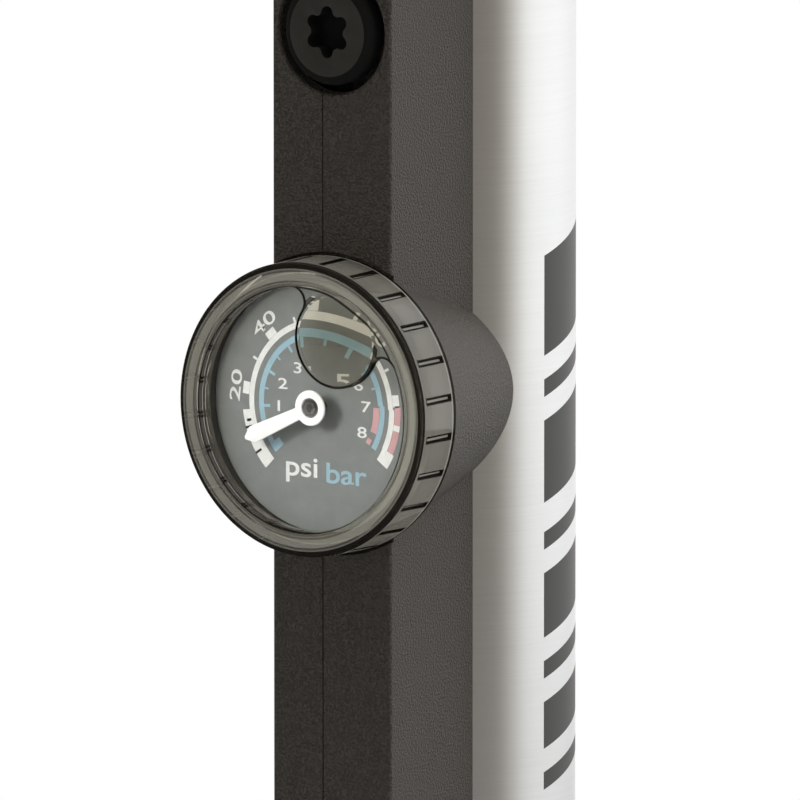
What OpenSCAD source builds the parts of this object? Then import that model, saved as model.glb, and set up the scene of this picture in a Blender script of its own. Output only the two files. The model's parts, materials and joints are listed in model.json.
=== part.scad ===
// Floor pump with a gauge on the barrel.
// Millimetres, +Z up, floor at z = 0, barrel axis on the Z axis, gauge facing -Y.

/* [Barrel] */
// Outside diameter of the barrel tube
barrel_d = 38; // [36:0.5:42]
// Wall of the barrel tube
barrel_wall = 1.8; // [1.2:0.1:2.4]
// Length of the barrel tube
barrel_len = 530; // [470:1:600]
// Width of the slotted rail along the front of the tube
rail_w = 16; // [15:0.1:17]
// Height of the rail above the tube
rail_h = 7; // [6.5:0.1:7.5]
// Width of the slot inside the rail
slot_w = 11; // [10.5:0.1:12]
// Thickness of the lips that close the slot
slot_lip = 1.5; // [1:0.1:2]

/* [Spine] */
// Width of the spine
spine_w = 24; // [23:0.1:27]
// How far the front face stands off the tube
spine_proud = 20.1; // [19:0.1:22]
// Wall of the spine moulding
spine_wall = 2.4; // [1.8:0.1:2.6]
// Radius of the two front edges
spine_edge_r = 1; // [0.5:0.1:2]
// How deep the spine stands in the base and in the top cap
spine_entry = 12; // [8:1:18]

/* [Spine bolts] */
// Height of the upper bolt above the gauge axis
bolt_rise = 62.7; // [56:0.1:75]
// Height of the lower bolt above the floor
low_bolt_z = 150; // [120:1:200]
// Diameter of the bolt's shank
bolt_d = 8; // [6:0.5:8]
// Diameter of the head
bolt_head_d = 18; // [15:0.5:19]
// Softness of the head's edge
bolt_edge = 1.5; // [0.5:0.1:2]
// How far the head stands proud of the spine
bolt_proud = 1.3; // [0.5:0.1:3]
// Diameter of the sunk seat round the head
bolt_seat_d = 21.2; // [20.5:0.1:22.5]
// Depth of the sunk seat
bolt_seat_depth = 2.5; // [1.5:0.1:4]
// Size of the six-lobe recess over its points
lobe_size = 8.8; // [6:0.1:10]
// Depth of the six-lobe recess
lobe_depth = 3; // [2:0.1:3.5]
// Thickness of the nuts in the rail
rail_nut_t = 3.6; // [3:0.1:3.8]

/* [Gauge] */
// Height of the gauge axis above the floor
gauge_z = 370; // [330:1:400]
// Radius of the housing at its front rim
housing_r = 24.1; // [23.6:0.1:24.5]
// Radius of the housing at its tail
housing_tail_r = 16.7; // [14:0.1:18]
// Depth of the housing behind the spine's face
housing_depth = 30.5; // [28:0.5:32]
// How far the housing rim lies behind the spine's face
rim_set_back = 0.9; // [0.4:0.1:1.5]
// Radius of the gauge case
case_r = 18.5; // [18:0.1:18.8]
// Wall of the gauge case
case_wall = 0.8; // [0.6:0.1:1]
// Height of the dial's face in front of the spine's face
dial_proud = 2.6; // [2.2:0.1:3]
// Thickness of the dial plate
dial_t = 0.6; // [0.4:0.1:0.8]
// Height of the pointer's face above the dial's face
pointer_lift = 3.4; // [2.8:0.1:3.6]
// Length of the pointer from its axis
pointer_len = 14.8; // [12:0.1:17]
// Angle of the pointer at zero pressure, from three o'clock
zero_angle = 205; // [195:1:215]

/* [Bezel] */
// Radius of the bezel at its front
bezel_r = 24.8; // [24.4:0.1:25.5]
// Growth of the radius from front to back
bezel_draft = 0.2; // [0:0.1:0.8]
// Depth of the bezel from front to back
bezel_depth = 9.8; // [9.2:0.1:11]
// Radius of the sunk window
window_r = 20.7; // [20.2:0.1:21.2]
// Depth of the sunk window below the front ring
window_sink = 1.2; // [0.8:0.1:1.6]
// Thickness of the window
window_t = 1.1; // [0.8:0.1:1.3]
// Radius of the magnifying lens
lens_r = 7.4; // [6.5:0.1:8]
// Height of the lens's dome
lens_rise = 2; // [0.4:0.1:2.4]
// Distance of the lens from the gauge axis
lens_out = 14.3; // [12:0.1:14.8]
// Direction of the lens from the gauge axis
lens_angle = 60; // [30:1:90]
// Width of the raised land round the lens
lens_land = 0.8; // [0.6:0.1:2.4]
// Radius of the fillets that run the land into the ring
land_fillet_r = 2.4; // [2:0.1:5]
// Number of grip notches
notch_count = 24; // [12:1:36]
// Length of a grip notch
notch_len = 6.8; // [2:0.1:7.5]
// Width of a grip notch
notch_w = 0.8; // [0.5:0.1:1.2]
// Depth of a grip notch
notch_depth = 0.4; // [0.3:0.1:0.6]
// Wall of the case's rim round the dial, which the bezel snaps onto
skirt_wall = 1.25; // [1:0.05:1.5]

/* [Movement] */
// Tooth module of the movement's gears
tooth_module = 0.16; // [0.14:0.01:0.18]
// Number of teeth on the pointer's pinion
pinion_teeth = 12; // [10:1:12]
// Number of teeth that the sector would have all round
sector_circle_teeth = 108; // [96:1:108]
// Number of teeth on the sector
sector_teeth = 13; // [11:1:15]
// Mean radius of the curved pressure tube
bourdon_r = 13.2; // [12.8:0.1:13.6]
// Thickness of the curved pressure tube
bourdon_t = 2; // [1.4:0.1:2.2]
// Width of the curved pressure tube
bourdon_w = 5.5; // [4.5:0.1:5.5]

/* [Air way] */
// Outside diameter of the gauge's air tube
tube_d = 3.5; // [3:0.1:3.5]
// Bore of the air tube
tube_bore = 2; // [1:0.1:2.2]
// Distance of the air tube from the middle of the spine
tube_x = 6.6; // [6.4:0.1:6.8]
// Diameter of the valve chamber in the base
chamber_d = 16; // [14:0.5:18]
// Travel of the valve poppet
poppet_travel = 1.5; // [1:0.1:2]
// Diameter of the outlet's threaded socket
outlet_thread_d = 9; // [8:0.5:10]
// Depth of the outlet's threaded socket
outlet_thread_len = 10; // [8:0.5:12]
// Bore from the valve chamber to the outlet
outlet_bore = 3.6; // [2.5:0.1:4]

/* [Base] */
// Height of the rubber feet under the base
foot_h = 4; // [3:0.5:6]
// Diameter of the rubber feet
foot_d = 16; // [14:0.5:18]
// Height of the wings above the base's underside
wing_h = 12; // [10:0.5:16]
// Sideways place of the wing ends
wing_x = 84; // [76:1:96]
// Backward place of the wing ends
wing_y = 42; // [34:1:46]
// Radius of the wing ends
wing_r = 34; // [32:1:38]
// Height of the socket for the barrel above the floor
hub_top = 74; // [66:1:90]
// Wall of the socket
hub_wall = 7; // [6:0.5:9]
// Radius of the flared foot of the socket
flare_r = 44; // [42:0.5:47]
// Height of the valve's deck above the base's underside
deck_h = 20; // [19:0.5:24]
// Thickness of the rubber treads
tread_t = 2.8; // [2:0.1:4]
// Depth of the recess that holds a tread
tread_sink = 1.2; // [0.8:0.1:2]
// Number of ridges on a tread
tread_ridges = 7; // [5:1:9]

/* [Top cap] */
// Height of the cap above the barrel
cap_rise = 14; // [12:0.5:20]
// How far the cap reaches down the barrel
cap_grip = 28; // [24:1:40]
// Wall of the cap round the barrel
cap_wall = 5; // [4:0.5:7]
// Outside diameter of the guide bush
bush_d = 18; // [16:0.5:20]
// Height of the rubber bumper
bumper_h = 6; // [4:0.5:10]

/* [Plunger] */
// Diameter of the piston rod
rod_d = 12; // [11:0.5:14]
// Wall of the piston rod
rod_wall = 1.4; // [1:0.1:1.8]
// Height of the piston
piston_h = 20; // [18:0.5:30]
// Height of the sealing ring
ring_h = 5; // [4:0.5:6]
// Radial thickness of the sealing ring
ring_t = 3.4; // [2.5:0.1:4]
// Height of the piston above the valve deck when the handle is down
piston_rest = 12; // [11:0.5:20]

/* [Handle] */
// Half the length of the handle
handle_reach = 118; // [100:1:130]
// Height of the handle's hub
hub_h = 48; // [44:1:60]
// Radius of the handle's hub
handle_hub_r = 17; // [15.5:0.5:20]
// Radius of the arms under the grips
arm_r = 10.5; // [9:0.5:12]
// Radius of a grip at its thickest
grip_r = 14.5; // [13.5:0.5:16]
// Thickness of the grip end caps
grip_cap_t = 5; // [3:0.5:8]
// Number of finger grooves on each grip
grip_grooves = 9; // [5:1:12]

/* [Fits] */
// Gap between pieces that sit in one another
fit_gap = 0.05; // [0.03:0.01:0.08]
// Running gap round shafts and turning rims
run_gap = 0.05; // [0.03:0.01:0.08]
// Free gap between pieces that move past each other
free_gap = 0.3; // [0.25:0.05:0.4]

/* [Hidden] */
$fn = 64;
hull_facets = 32;
cut = 1;  // how far a cutting shape runs past what it cuts
tangent_bite = 0.01;  // how far a straight flank lies inside its circles

barrel_r = barrel_d / 2;
bore_r = barrel_r - barrel_wall;
rail_front = barrel_r + rail_h;
slot_floor = rail_front - slot_lip - rail_nut_t - 2 * fit_gap;
face = barrel_r + spine_proud;  // spine's front face, measured forward from the barrel axis
channel_w = spine_w - 2 * spine_wall;
channel_front = face - spine_wall;

base_z = foot_h;
wing_top = base_z + wing_h;
deck_z = base_z + deck_h;
seal_t = 2;
barrel_z = deck_z + seal_t;
barrel_top = barrel_z + barrel_len;
cap_z = barrel_top - cap_grip;
cap_top = barrel_top + cap_rise;
socket_wall = 3.5;
socket_w = spine_w + 2 * (socket_wall + fit_gap);
socket_front = face + fit_gap + socket_wall;
socket_corner_r = 3;
spine_z = hub_top - spine_entry;
spine_top = cap_z + spine_entry;
bolt_zs = [low_bolt_z, gauge_z + bolt_rise];

// Levels in the gauge, measured forward from the barrel axis
rim_z = face - rim_set_back;
bezel_back = rim_z + free_gap;
bezel_front = bezel_back + bezel_depth;
window_front = bezel_front - window_sink;
window_back = window_front - window_t;
dial_face = face + dial_proud;
dial_back = dial_face - dial_t;
case_back = rail_front + 1;
skirt_front = dial_back + 2.4;
skirt_r = housing_r - 1.25;
pocket_r = skirt_r - skirt_wall;
cavity_r = case_r + free_gap;
relief_r = bezel_r + bezel_draft + 0.5;
gasket_t = 0.7;
bezel_shoulder = skirt_front + gasket_t + free_gap;
bead_z = rim_z + 0.9;
bead_h = 0.8;
bead_depth = 0.4;
bead_play = 0.12;
pointer_face = dial_face + pointer_lift;
pointer_t = 0.5;
case_floor = case_back + case_wall;
socket_h = 8.2;
plate_z = case_floor + socket_h;
plate_t = 0.8;
rear_plate_z = case_floor + 2.8;
rear_plate_t = 0.6;
sector_z = rear_plate_z + rear_plate_t + 1.8;
sector_t = 1.2;
pinion_z = sector_z - 0.4;
pinion_t = 2;
spring_z = rear_plate_z + rear_plate_t + 0.4;
bourdon_z = case_floor + 1.2;
link_t = 0.5;
link_z = bourdon_z + bourdon_w + fit_gap;
shaft_r = 0.5;
pinion_r = tooth_module * pinion_teeth / 2;
sector_r = tooth_module * sector_circle_teeth / 2;
sector_bearing = -31.4;
sector_pivot = (pinion_r + sector_r) * [cos(sector_bearing), sin(sector_bearing)];
tail_len = 4.5;
tail_bearing = 30;
tail_end = sector_pivot + tail_len * [cos(tail_bearing), sin(tail_bearing)];
bourdon_start = -112;
bourdon_sweep = 220;
bourdon_tip_angle = bourdon_start - bourdon_sweep;
bourdon_tip = bourdon_r * [cos(bourdon_tip_angle), sin(bourdon_tip_angle)];
pillar_r = 1.1;
pillar_spots = [[-5, 4], [-5, -5]];
plate_screw_spots = [[-3.6, -15], [-1, -10.9]];
tube_front = rail_front + 5.5;
stem_r = tube_d / 2 + 1.1;
stem_len = 12;
tube_insert = 9;
tube_top = gauge_z - case_r - stem_len + tube_insert;

// Levels and sizes in the base
lobe_corner = 4;
chamber_z = base_z + 9;
passage_z = chamber_z + 3;
valve_cap_r = chamber_d / 2 + 2;
seat_face = deck_z - 5;
poppet_h = 1.6;
poppet_z = seat_face - fit_gap - poppet_h;
poppet_r = chamber_d / 2 - 2;
poppet_stem_r = 2;
seat_flange_t = 3;
seat_r = bore_r - 0.9;
outlet_boss_r = 9;
outlet_face = flare_r + 2;
outlet_body_r = outlet_thread_d / 2 + 1.5;
outlet_body_len = outlet_thread_len + 4;
tube_bottom = passage_z + 4;
cross_bore_r = 1.25;
fitting_r = 4;
fitting_h = 12;
foot_sink = 2;
foot_screw_r = 1.6;
foot_screw_bite = 6.5;
foot_screw_head = 1.7;
foot_screw_z = 0.8;
foot_spots = [[0, -58], [wing_x + 11, wing_y + 19], [wing_x + 19, wing_y - 11],
              [-wing_x - 11, wing_y + 19], [-wing_x - 19, wing_y - 11]];
toe_r = 24;
toe_y = wing_r + wing_y - toe_r;
toe_root_y = 20;
toe_root_r = 28;
wing_root = [34, 12];
wing_root_r = 26;
tread_inner = [wing_x / 2 + 2, wing_y / 2 - 3];
tread_inner_r = 11;
tread_outer = [wing_x, wing_y];
tread_outer_r = wing_r - 9;

// Levels of the plunger
piston_z = deck_z + piston_rest;
piston_top = piston_z + piston_h;
piston_r = bore_r - free_gap;
groove_r = bore_r - ring_t - 0.2;
ring_z = piston_z + (piston_h - ring_h) / 2;
rod_r = rod_d / 2;
rod_bore_r = rod_r - rod_wall;
spigot_r = 4;
washer_t = 1.2;
rod_tip_len = 20;
nut_h = 5;
bumper_top = cap_top + bumper_h;
hub_z = bumper_top + free_gap;
handle_z = hub_z + 0.54 * hub_h;
hub_crown = hub_z + hub_h;
rod_top = handle_z - 4;
handle_screw_r = 4;
screw_seat_z = hub_crown - 12;
handle_plug_r = 10;
grip_start = handle_hub_r + 3;
grip_end = handle_reach - grip_cap_t;

// ---------- Shared shapes ----------

// Turns a shape drawn in the plane of the dial (x right, y up, z forward) to its place on the pump
module on_gauge() { translate([0, 0, gauge_z]) rotate([90, 0, 0]) children(); }

// The same at one of the bolts in the spine
module on_spine(height) { translate([0, 0, height]) rotate([90, 0, 0]) children(); }

module ring(outer, inner, height) {
    difference() {
        cylinder(r = outer, h = height);
        translate([0, 0, -cut]) cylinder(r = inner, h = height + 2 * cut);
    }
}

// Points where the two outer tangents of a pair of circles touch them
function tangent_points(c1, r1, c2, r2) =
    let (d = c2 - c1, bearing = atan2(d[1], d[0]), swing = acos((r1 - r2) / norm(d)))
    [c1 + r1 * [cos(bearing + swing), sin(bearing + swing)],
     c2 + r2 * [cos(bearing + swing), sin(bearing + swing)],
     c2 + r2 * [cos(bearing - swing), sin(bearing - swing)],
     c1 + r1 * [cos(bearing - swing), sin(bearing - swing)]];

// Two circles and the straight flanks between them, which meet the circles a hair inside the tangent
module lobe_outline(c1, r1, c2, r2) {
    translate(c1) circle(r1);
    translate(c2) circle(r2);
    polygon(tangent_points(c1, r1 - tangent_bite, c2, r2 - tangent_bite));
}

// Rectangle from y = 0 forward to y = -depth with its two front corners rounded
module front_block(width, depth, corner_r) {
    half = width / 2;
    polygon([[half, 0], [half, corner_r - depth], [half - corner_r, -depth],
        [corner_r - half, -depth], [-half, corner_r - depth], [-half, 0]]);
    for (side = [-1, 1]) translate([side * (half - corner_r), corner_r - depth]) circle(corner_r);
}

module hex_bar(across_flats, height) {
    cylinder(r = across_flats / sqrt(3), h = height, $fn = 6);
}

// Domed screw head, flat side on z = 0
module domed_head(radius, height) {
    ball_r = (radius * radius + height * height) / (2 * height);
    rim = 0.35 * height;
    dome_r = (radius * radius + (height - rim) * (height - rim)) / (2 * (height - rim));
    cylinder(r = radius, h = rim);
    intersection() {
        translate([0, 0, height - dome_r]) sphere(r = dome_r);
        translate([0, 0, rim - 0.001]) cylinder(r = min(radius, ball_r), h = height);
    }
}

// Flat-topped screw head with a softened edge
module soft_head(radius, height, edge) {
    rotate_extrude() polygon([[0, 0], [radius, 0], [radius, height - edge],
        [radius - 0.3 * edge, height - 0.3 * edge], [radius - edge, height], [0, height]]);
}

// Six-lobe recess over its points
module six_lobe(size, depth) {
    point_r = size * 0.13;
    linear_extrude(height = depth) {
        circle(size * 0.365);
        for (i = [0 : 5]) rotate(60 * i) translate([size / 2 - point_r, 0]) circle(point_r);
    }
}

// Outline of a toothed edge between two angles, teeth as trapezoids round the pitch circle
function toothed_edge(pitch_r, pitch_angle, first, count) = [
    for (i = [0 : count - 1], k = [0 : 3])
        let (half = pitch_angle * [0.3, 0.12, 0.12, 0.3][k], side = k < 2 ? -1 : 1)
        let (r = pitch_r + (k == 1 || k == 2 ? 0.9 : -1.1) * tooth_module)
        let (a = first + i * pitch_angle + side * half)
        r * [cos(a), sin(a)]];

// ---------- Base ----------

// One lobe of the base with softly rounded edges
module soft_lobe(c1, r1, c2, r2) {
    shape = [[0, 1.2], [1.2, 0], [wing_h - lobe_corner, 0.4], [wing_h - 1.2, 1.7], [wing_h, lobe_corner]];
    hull() for (level = shape, end = [[c1, r1], [c2, r2]])
        translate([end[0][0], end[0][1], base_z + level[0] - (level[0] == wing_h ? 0.01 : 0)])
            cylinder(r = end[1] - level[1], h = 0.01, $fn = hull_facets);
}

module hub_flare() {
    hub_r = barrel_r + hub_wall;
    steps = 8;
    lip = 2;
    curve = [for (i = [0 : steps]) let (a = 90 * i / steps)
        [hub_r + (flare_r - hub_r) * (1 - sin(a)), wing_top - 4 + (hub_top - lip - wing_top + 4) * (1 - cos(a))]];
    rotate_extrude() polygon(concat([[0, base_z], [flare_r - 1, base_z], [flare_r, base_z + 1]], curve,
        [[hub_r, hub_top - lip], [hub_r - lip, hub_top], [0, hub_top]]));
}

// Hollows under the wings, between a wall, cross ribs and one long rib
module wing_pockets() {
    rib_t = 3;
    wall = 5;
    rib_pitch = 24;
    rib_count = 4;
    pocket_start = flare_r + 2;
    long_rib_at = [60, 32];
    for (side = [0, 1]) mirror([side, 0]) difference() {
        lobe_outline(wing_root, wing_root_r - wall - 2, [wing_x, wing_y], wing_r - wall);
        translate([0, -wing_r]) square([pocket_start, 4 * wing_r]);
        for (i = [1 : rib_count]) translate([pocket_start + rib_pitch * i, 0])
            square([rib_t, 4 * wing_r + wing_x], center = true);
        translate(long_rib_at) rotate(30) square([2 * wing_x, rib_t], center = true);
        for (spot = foot_spots) translate([abs(spot[0]), spot[1]]) circle(foot_d / 2 + rib_t);
    }
}

module tread_outline(grow) {
    lobe_outline(tread_inner, tread_inner_r + grow, tread_outer, tread_outer_r + grow);
}

module base() {
    color("#26251f") difference() {
        union() {
            hub_flare();
            for (side = [-1, 1]) soft_lobe([side * wing_root[0], wing_root[1]], wing_root_r,
                [side * wing_x, wing_y], wing_r);
            soft_lobe([0, -toe_root_y], toe_root_r, [0, -toe_y], toe_r);
            translate([0, 0, base_z + 2]) linear_extrude(height = hub_top - base_z - 2)
                front_block(socket_w, socket_front, socket_corner_r);
            translate([0, 0, passage_z]) rotate([-90, 0, 0]) cylinder(r = outlet_boss_r, h = outlet_face);
        }
        translate([0, 0, deck_z]) cylinder(r = barrel_r + fit_gap, h = hub_top);
        translate([0, 0, barrel_z]) linear_extrude(height = hub_top)
            translate([-rail_w / 2 - fit_gap, -rail_front - fit_gap]) square([rail_w + 2 * fit_gap, rail_front]);
        translate([0, 0, spine_z]) linear_extrude(height = hub_top)
            front_block(spine_w + 2 * fit_gap, face + fit_gap, spine_edge_r);
        translate([0, 0, chamber_z]) cylinder(r = chamber_d / 2, h = deck_h);
        translate([0, 0, base_z - cut]) cylinder(r = valve_cap_r + fit_gap, h = chamber_z - base_z + cut);
        translate([0, 0, passage_z]) rotate([-90, 0, 0]) cylinder(r = outlet_bore / 2, h = outlet_face);
        translate([0, outlet_face - outlet_body_len, passage_z]) rotate([-90, 0, 0])
            cylinder(r = outlet_body_r + fit_gap, h = outlet_body_len + cut);
        translate([0, 0, passage_z]) rotate([90, 0, atan(tube_x / tube_front)])
            cylinder(r = cross_bore_r, h = norm([tube_x, tube_front]) + cross_bore_r + 0.5);
        translate([tube_x, -tube_front, passage_z]) cylinder(r = tube_bore / 2, h = hub_top);
        translate([tube_x, -tube_front, tube_bottom]) cylinder(r = tube_d / 2 + fit_gap, h = hub_top);
        translate([tube_x, -tube_front, spine_z - fitting_h]) cylinder(r = fitting_r + fit_gap, h = hub_top);
        translate([0, 0, base_z - cut]) linear_extrude(height = cut + wing_h - tread_sink - 3) wing_pockets();
        for (side = [0, 1]) mirror([side, 0, 0]) translate([0, 0, wing_top - tread_sink])
            linear_extrude(height = wing_h) tread_outline(fit_gap);
        for (spot = foot_spots) translate([spot[0], spot[1], base_z - cut]) {
            cylinder(r = foot_d / 2 + fit_gap, h = foot_sink + cut);
            cylinder(r = foot_screw_r + fit_gap, h = foot_sink + foot_screw_bite + cut);
        }
    }
}

module foot_tread(side) {
    ridge_w = 3;
    ridge_h = 1.1;
    travel = norm(tread_outer - tread_inner) + tread_outer_r;
    bearing = atan2(tread_outer[1] - tread_inner[1], tread_outer[0] - tread_inner[0]);
    color("#34332f") mirror([side, 0, 0]) translate([0, 0, wing_top - tread_sink]) {
        linear_extrude(height = tread_t) tread_outline(0);
        translate([0, 0, tread_t - 0.5]) linear_extrude(height = 0.5 + ridge_h) intersection() {
            tread_outline(-2.5);
            translate(tread_inner) rotate(bearing) for (i = [0 : tread_ridges - 1])
                translate([travel * (i + 0.3) / tread_ridges, 0]) square([ridge_w, 4 * wing_r], center = true);
        }
    }
}
module foot_tread_left() { foot_tread(1); }
module foot_tread_right() { foot_tread(0); }

module base_feet() {
    rim = 1.2;
    color("#2b2b2b") for (spot = foot_spots) translate([spot[0], spot[1], 0]) difference() {
        union() {
            cylinder(r1 = foot_d / 2 - rim, r2 = foot_d / 2, h = rim);
            translate([0, 0, rim]) cylinder(r = foot_d / 2, h = foot_h + foot_sink - rim);
        }
        translate([0, 0, -cut])
            cylinder(r = 2 * foot_screw_r + 0.4, h = cut + foot_screw_z + foot_screw_head);
        cylinder(r = foot_screw_r + fit_gap, h = foot_h + foot_sink + cut);
    }
}

module foot_screws() {
    color("#8d9094") for (spot = foot_spots) translate([spot[0], spot[1], foot_screw_z]) difference() {
        union() {
            cylinder(r = 2 * foot_screw_r, h = foot_screw_head);
            cylinder(r = foot_screw_r, h = foot_h + foot_sink + foot_screw_bite - foot_screw_z - 0.5);
        }
        translate([0, 0, -cut]) hex_bar(1.6 * foot_screw_r, cut + 0.6 * foot_screw_head);
    }
}

// ---------- Valve and outlet ----------

// Threaded socket that the hose's union screws into
module hose_socket() {
    hex_h = 5;
    hex_flats = 2 * outlet_body_r + 3;
    color("#b08d46") translate([0, outlet_face - outlet_body_len, passage_z]) rotate([-90, 0, 0]) difference() {
        union() {
            cylinder(r = outlet_body_r, h = outlet_body_len);
            translate([0, 0, outlet_body_len]) hex_bar(hex_flats, hex_h);
        }
        translate([0, 0, -cut]) cylinder(r = outlet_bore / 2, h = outlet_body_len + cut);
        translate([0, 0, outlet_body_len + hex_h - outlet_thread_len])
            cylinder(r = outlet_thread_d / 2, h = outlet_thread_len + cut);
    }
}

module valve_seat() {
    color("#b89a55") difference() {
        union() {
            translate([0, 0, deck_z]) cylinder(r = seat_r, h = seat_flange_t);
            translate([0, 0, seat_face]) cylinder(r = chamber_d / 2 - fit_gap, h = deck_z - seat_face);
        }
        translate([0, 0, seat_face - cut])
            cylinder(r = poppet_stem_r + 0.5, h = deck_z - seat_face + seat_flange_t + 2 * cut);
    }
}

module valve_poppet() {
    stem_len = poppet_z - chamber_z + 3;
    color("#3a3a3a") {
        translate([0, 0, poppet_z]) cylinder(r = poppet_r, h = poppet_h);
        translate([0, 0, poppet_z - stem_len]) cylinder(r = poppet_stem_r, h = stem_len);
    }
}

// Point on the centre line of the coil at a share of its length
function coil_point(r, height, turns, t) = [r * cos(360 * turns * t), r * sin(360 * turns * t), height * t];

module valve_spring() {
    wire_r = 0.35;
    coil_r = poppet_stem_r + 1.5;
    turns = 3;
    steps = 42;
    sides = 6;
    rise = poppet_z - chamber_z - 2 * wire_r - 2 * fit_gap;
    pts = [for (i = [0 : steps], k = [0 : sides - 1])
        let (t = i / steps, c = coil_point(coil_r, rise, turns, t), a = 360 * turns * t)
        c + wire_r * (cos(360 * k / sides) * [cos(a), sin(a), 0] + sin(360 * k / sides) * [0, 0, 1])];
    sides_faces = [for (i = [0 : steps - 1], k = [0 : sides - 1])
        [i * sides + k, (i + 1) * sides + k, (i + 1) * sides + (k + 1) % sides, i * sides + (k + 1) % sides]];
    ends = [[for (k = [0 : sides - 1]) k], [for (k = [sides - 1 : -1 : 0]) steps * sides + k]];
    color("#a9abad") translate([0, 0, chamber_z + wire_r + fit_gap])
        polyhedron(points = pts, faces = concat(sides_faces, ends));
}

module valve_cap() {
    guide_len = 5 + poppet_travel;
    color("#b08d46") translate([0, 0, base_z + 1]) difference() {
        cylinder(r = valve_cap_r, h = chamber_z - base_z - 1);
        translate([0, 0, chamber_z - base_z - 1 - guide_len])
            cylinder(r = poppet_stem_r + run_gap, h = guide_len + cut);
        translate([0, 0, -cut]) hex_bar(8, cut + 1.2);
    }
}

module tube_fitting() {
    color("#b08d46") translate([tube_x, -tube_front, spine_z - fitting_h])
        ring(fitting_r, tube_d / 2 + fit_gap, fitting_h);
}

module air_tube() {
    color("#d9d7cf") translate([tube_x, -tube_front, tube_bottom])
        ring(tube_d / 2, tube_bore / 2, tube_top - tube_bottom);
}

// ---------- Barrel ----------

module barrel_seal() {
    color("#2b2b2b") translate([0, 0, deck_z]) ring(barrel_r, seat_r + fit_gap, seal_t);
}

// Drawn tube with a slotted rail in one piece, cut to length
module barrel() {
    mouth_w = bolt_d + 2 * free_gap;
    color("#b9bab8") translate([0, 0, barrel_z]) linear_extrude(height = barrel_len) difference() {
        union() {
            circle(barrel_r, $fn = 128);
            translate([-rail_w / 2, -rail_front]) square([rail_w, rail_front]);
        }
        circle(bore_r, $fn = 128);
        translate([-slot_w / 2, -rail_front + slot_lip]) square([slot_w, rail_front - slot_lip - slot_floor]);
        translate([-mouth_w / 2, -rail_front - cut]) square([mouth_w, slot_lip + 2 * cut]);
    }
}

module rail_nuts() {
    nut_w = slot_w - 2 * fit_gap;
    color("#8d9094") for (z = bolt_zs) on_spine(z) translate([0, 0, slot_floor + fit_gap]) difference() {
        translate([-nut_w / 2, -nut_w / 2, 0]) cube([nut_w, nut_w, rail_nut_t]);
        translate([0, 0, -cut]) cylinder(r = bolt_d / 2 + fit_gap, h = rail_nut_t + 2 * cut);
    }
}

// ---------- Spine and gauge housing ----------

module spine_shell() {
    translate([0, 0, spine_z]) linear_extrude(height = spine_top - spine_z)
        front_block(spine_w, face, spine_edge_r);
    on_gauge() translate([0, 0, face - housing_depth])
        cylinder(r1 = housing_tail_r, r2 = housing_r, h = housing_depth - rim_set_back, $fn = 128);
}

module bolt_block(z) {
    half = bolt_seat_d / 2 + 3;
    translate([-channel_w / 2 - cut, -channel_front - cut, z - half])
        cube([channel_w + 2 * cut, channel_front - rail_front - free_gap + cut, 2 * half]);
}

module spine() {
    color("#2f2d28") difference() {
        union() {
            difference() {
                spine_shell();
                translate([-channel_w / 2, -channel_front, spine_z - cut])
                    cube([channel_w, channel_front, spine_top - spine_z + 2 * cut]);
                on_gauge() translate([0, 0, rim_z]) cylinder(r = relief_r, h = face);
            }
            for (z = bolt_zs) bolt_block(z);
        }
        translate([0, 0, spine_z - cut])
            cylinder(r = barrel_r + fit_gap, h = spine_top - spine_z + 2 * cut, $fn = 128);
        on_gauge() translate([0, 0, case_back - fit_gap]) cylinder(r = cavity_r, h = face);
        translate([tube_x, -tube_front, gauge_z - case_r - stem_len - cut])
            cylinder(r = stem_r + free_gap, h = stem_len + 4);
        for (z = bolt_zs) {
            on_spine(z) translate([0, 0, face - bolt_seat_depth]) cylinder(r = bolt_seat_d / 2, h = face);
            on_spine(z) cylinder(r = bolt_d / 2 + free_gap / 2, h = face);
        }
        translate([tube_x, -tube_front, low_bolt_z - bolt_seat_d]) cylinder(r = tube_d / 2 + 0.15, h = 2 * bolt_seat_d);
    }
}

module spine_bolts() {
    head_h = bolt_seat_depth + bolt_proud;
    shank = face - bolt_seat_depth - slot_floor - free_gap;
    color("#1d1c1a") for (z = bolt_zs) on_spine(z) translate([0, 0, face - bolt_seat_depth]) difference() {
        union() {
            soft_head(bolt_head_d / 2, head_h, bolt_edge);
            translate([0, 0, -shank]) cylinder(r = bolt_d / 2, h = shank);
        }
        translate([0, 0, head_h - lobe_depth]) rotate(30) six_lobe(lobe_size, lobe_depth + cut);
    }
}

// ---------- Gauge ----------

module gauge_case() {
    color("#8a8c8b") on_gauge() difference() {
        union() {
            translate([0, 0, case_back]) cylinder(r = case_r, h = rim_z - case_back + cut);
            translate([0, 0, rim_z]) cylinder(r = skirt_r, h = skirt_front - rim_z, $fn = 128);
        }
        translate([0, 0, case_floor]) cylinder(r = case_r - case_wall, h = face);
        translate([0, 0, dial_back]) cylinder(r = pocket_r, h = face);
        translate([0, 0, bead_z - bead_play])
            ring(skirt_r + cut, skirt_r - bead_depth - bead_play, bead_h + 2 * bead_play);
        translate([tube_x, 0, tube_front]) rotate([90, 0, 0]) cylinder(r = stem_r + fit_gap, h = case_r + cut);
    }
}

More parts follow.
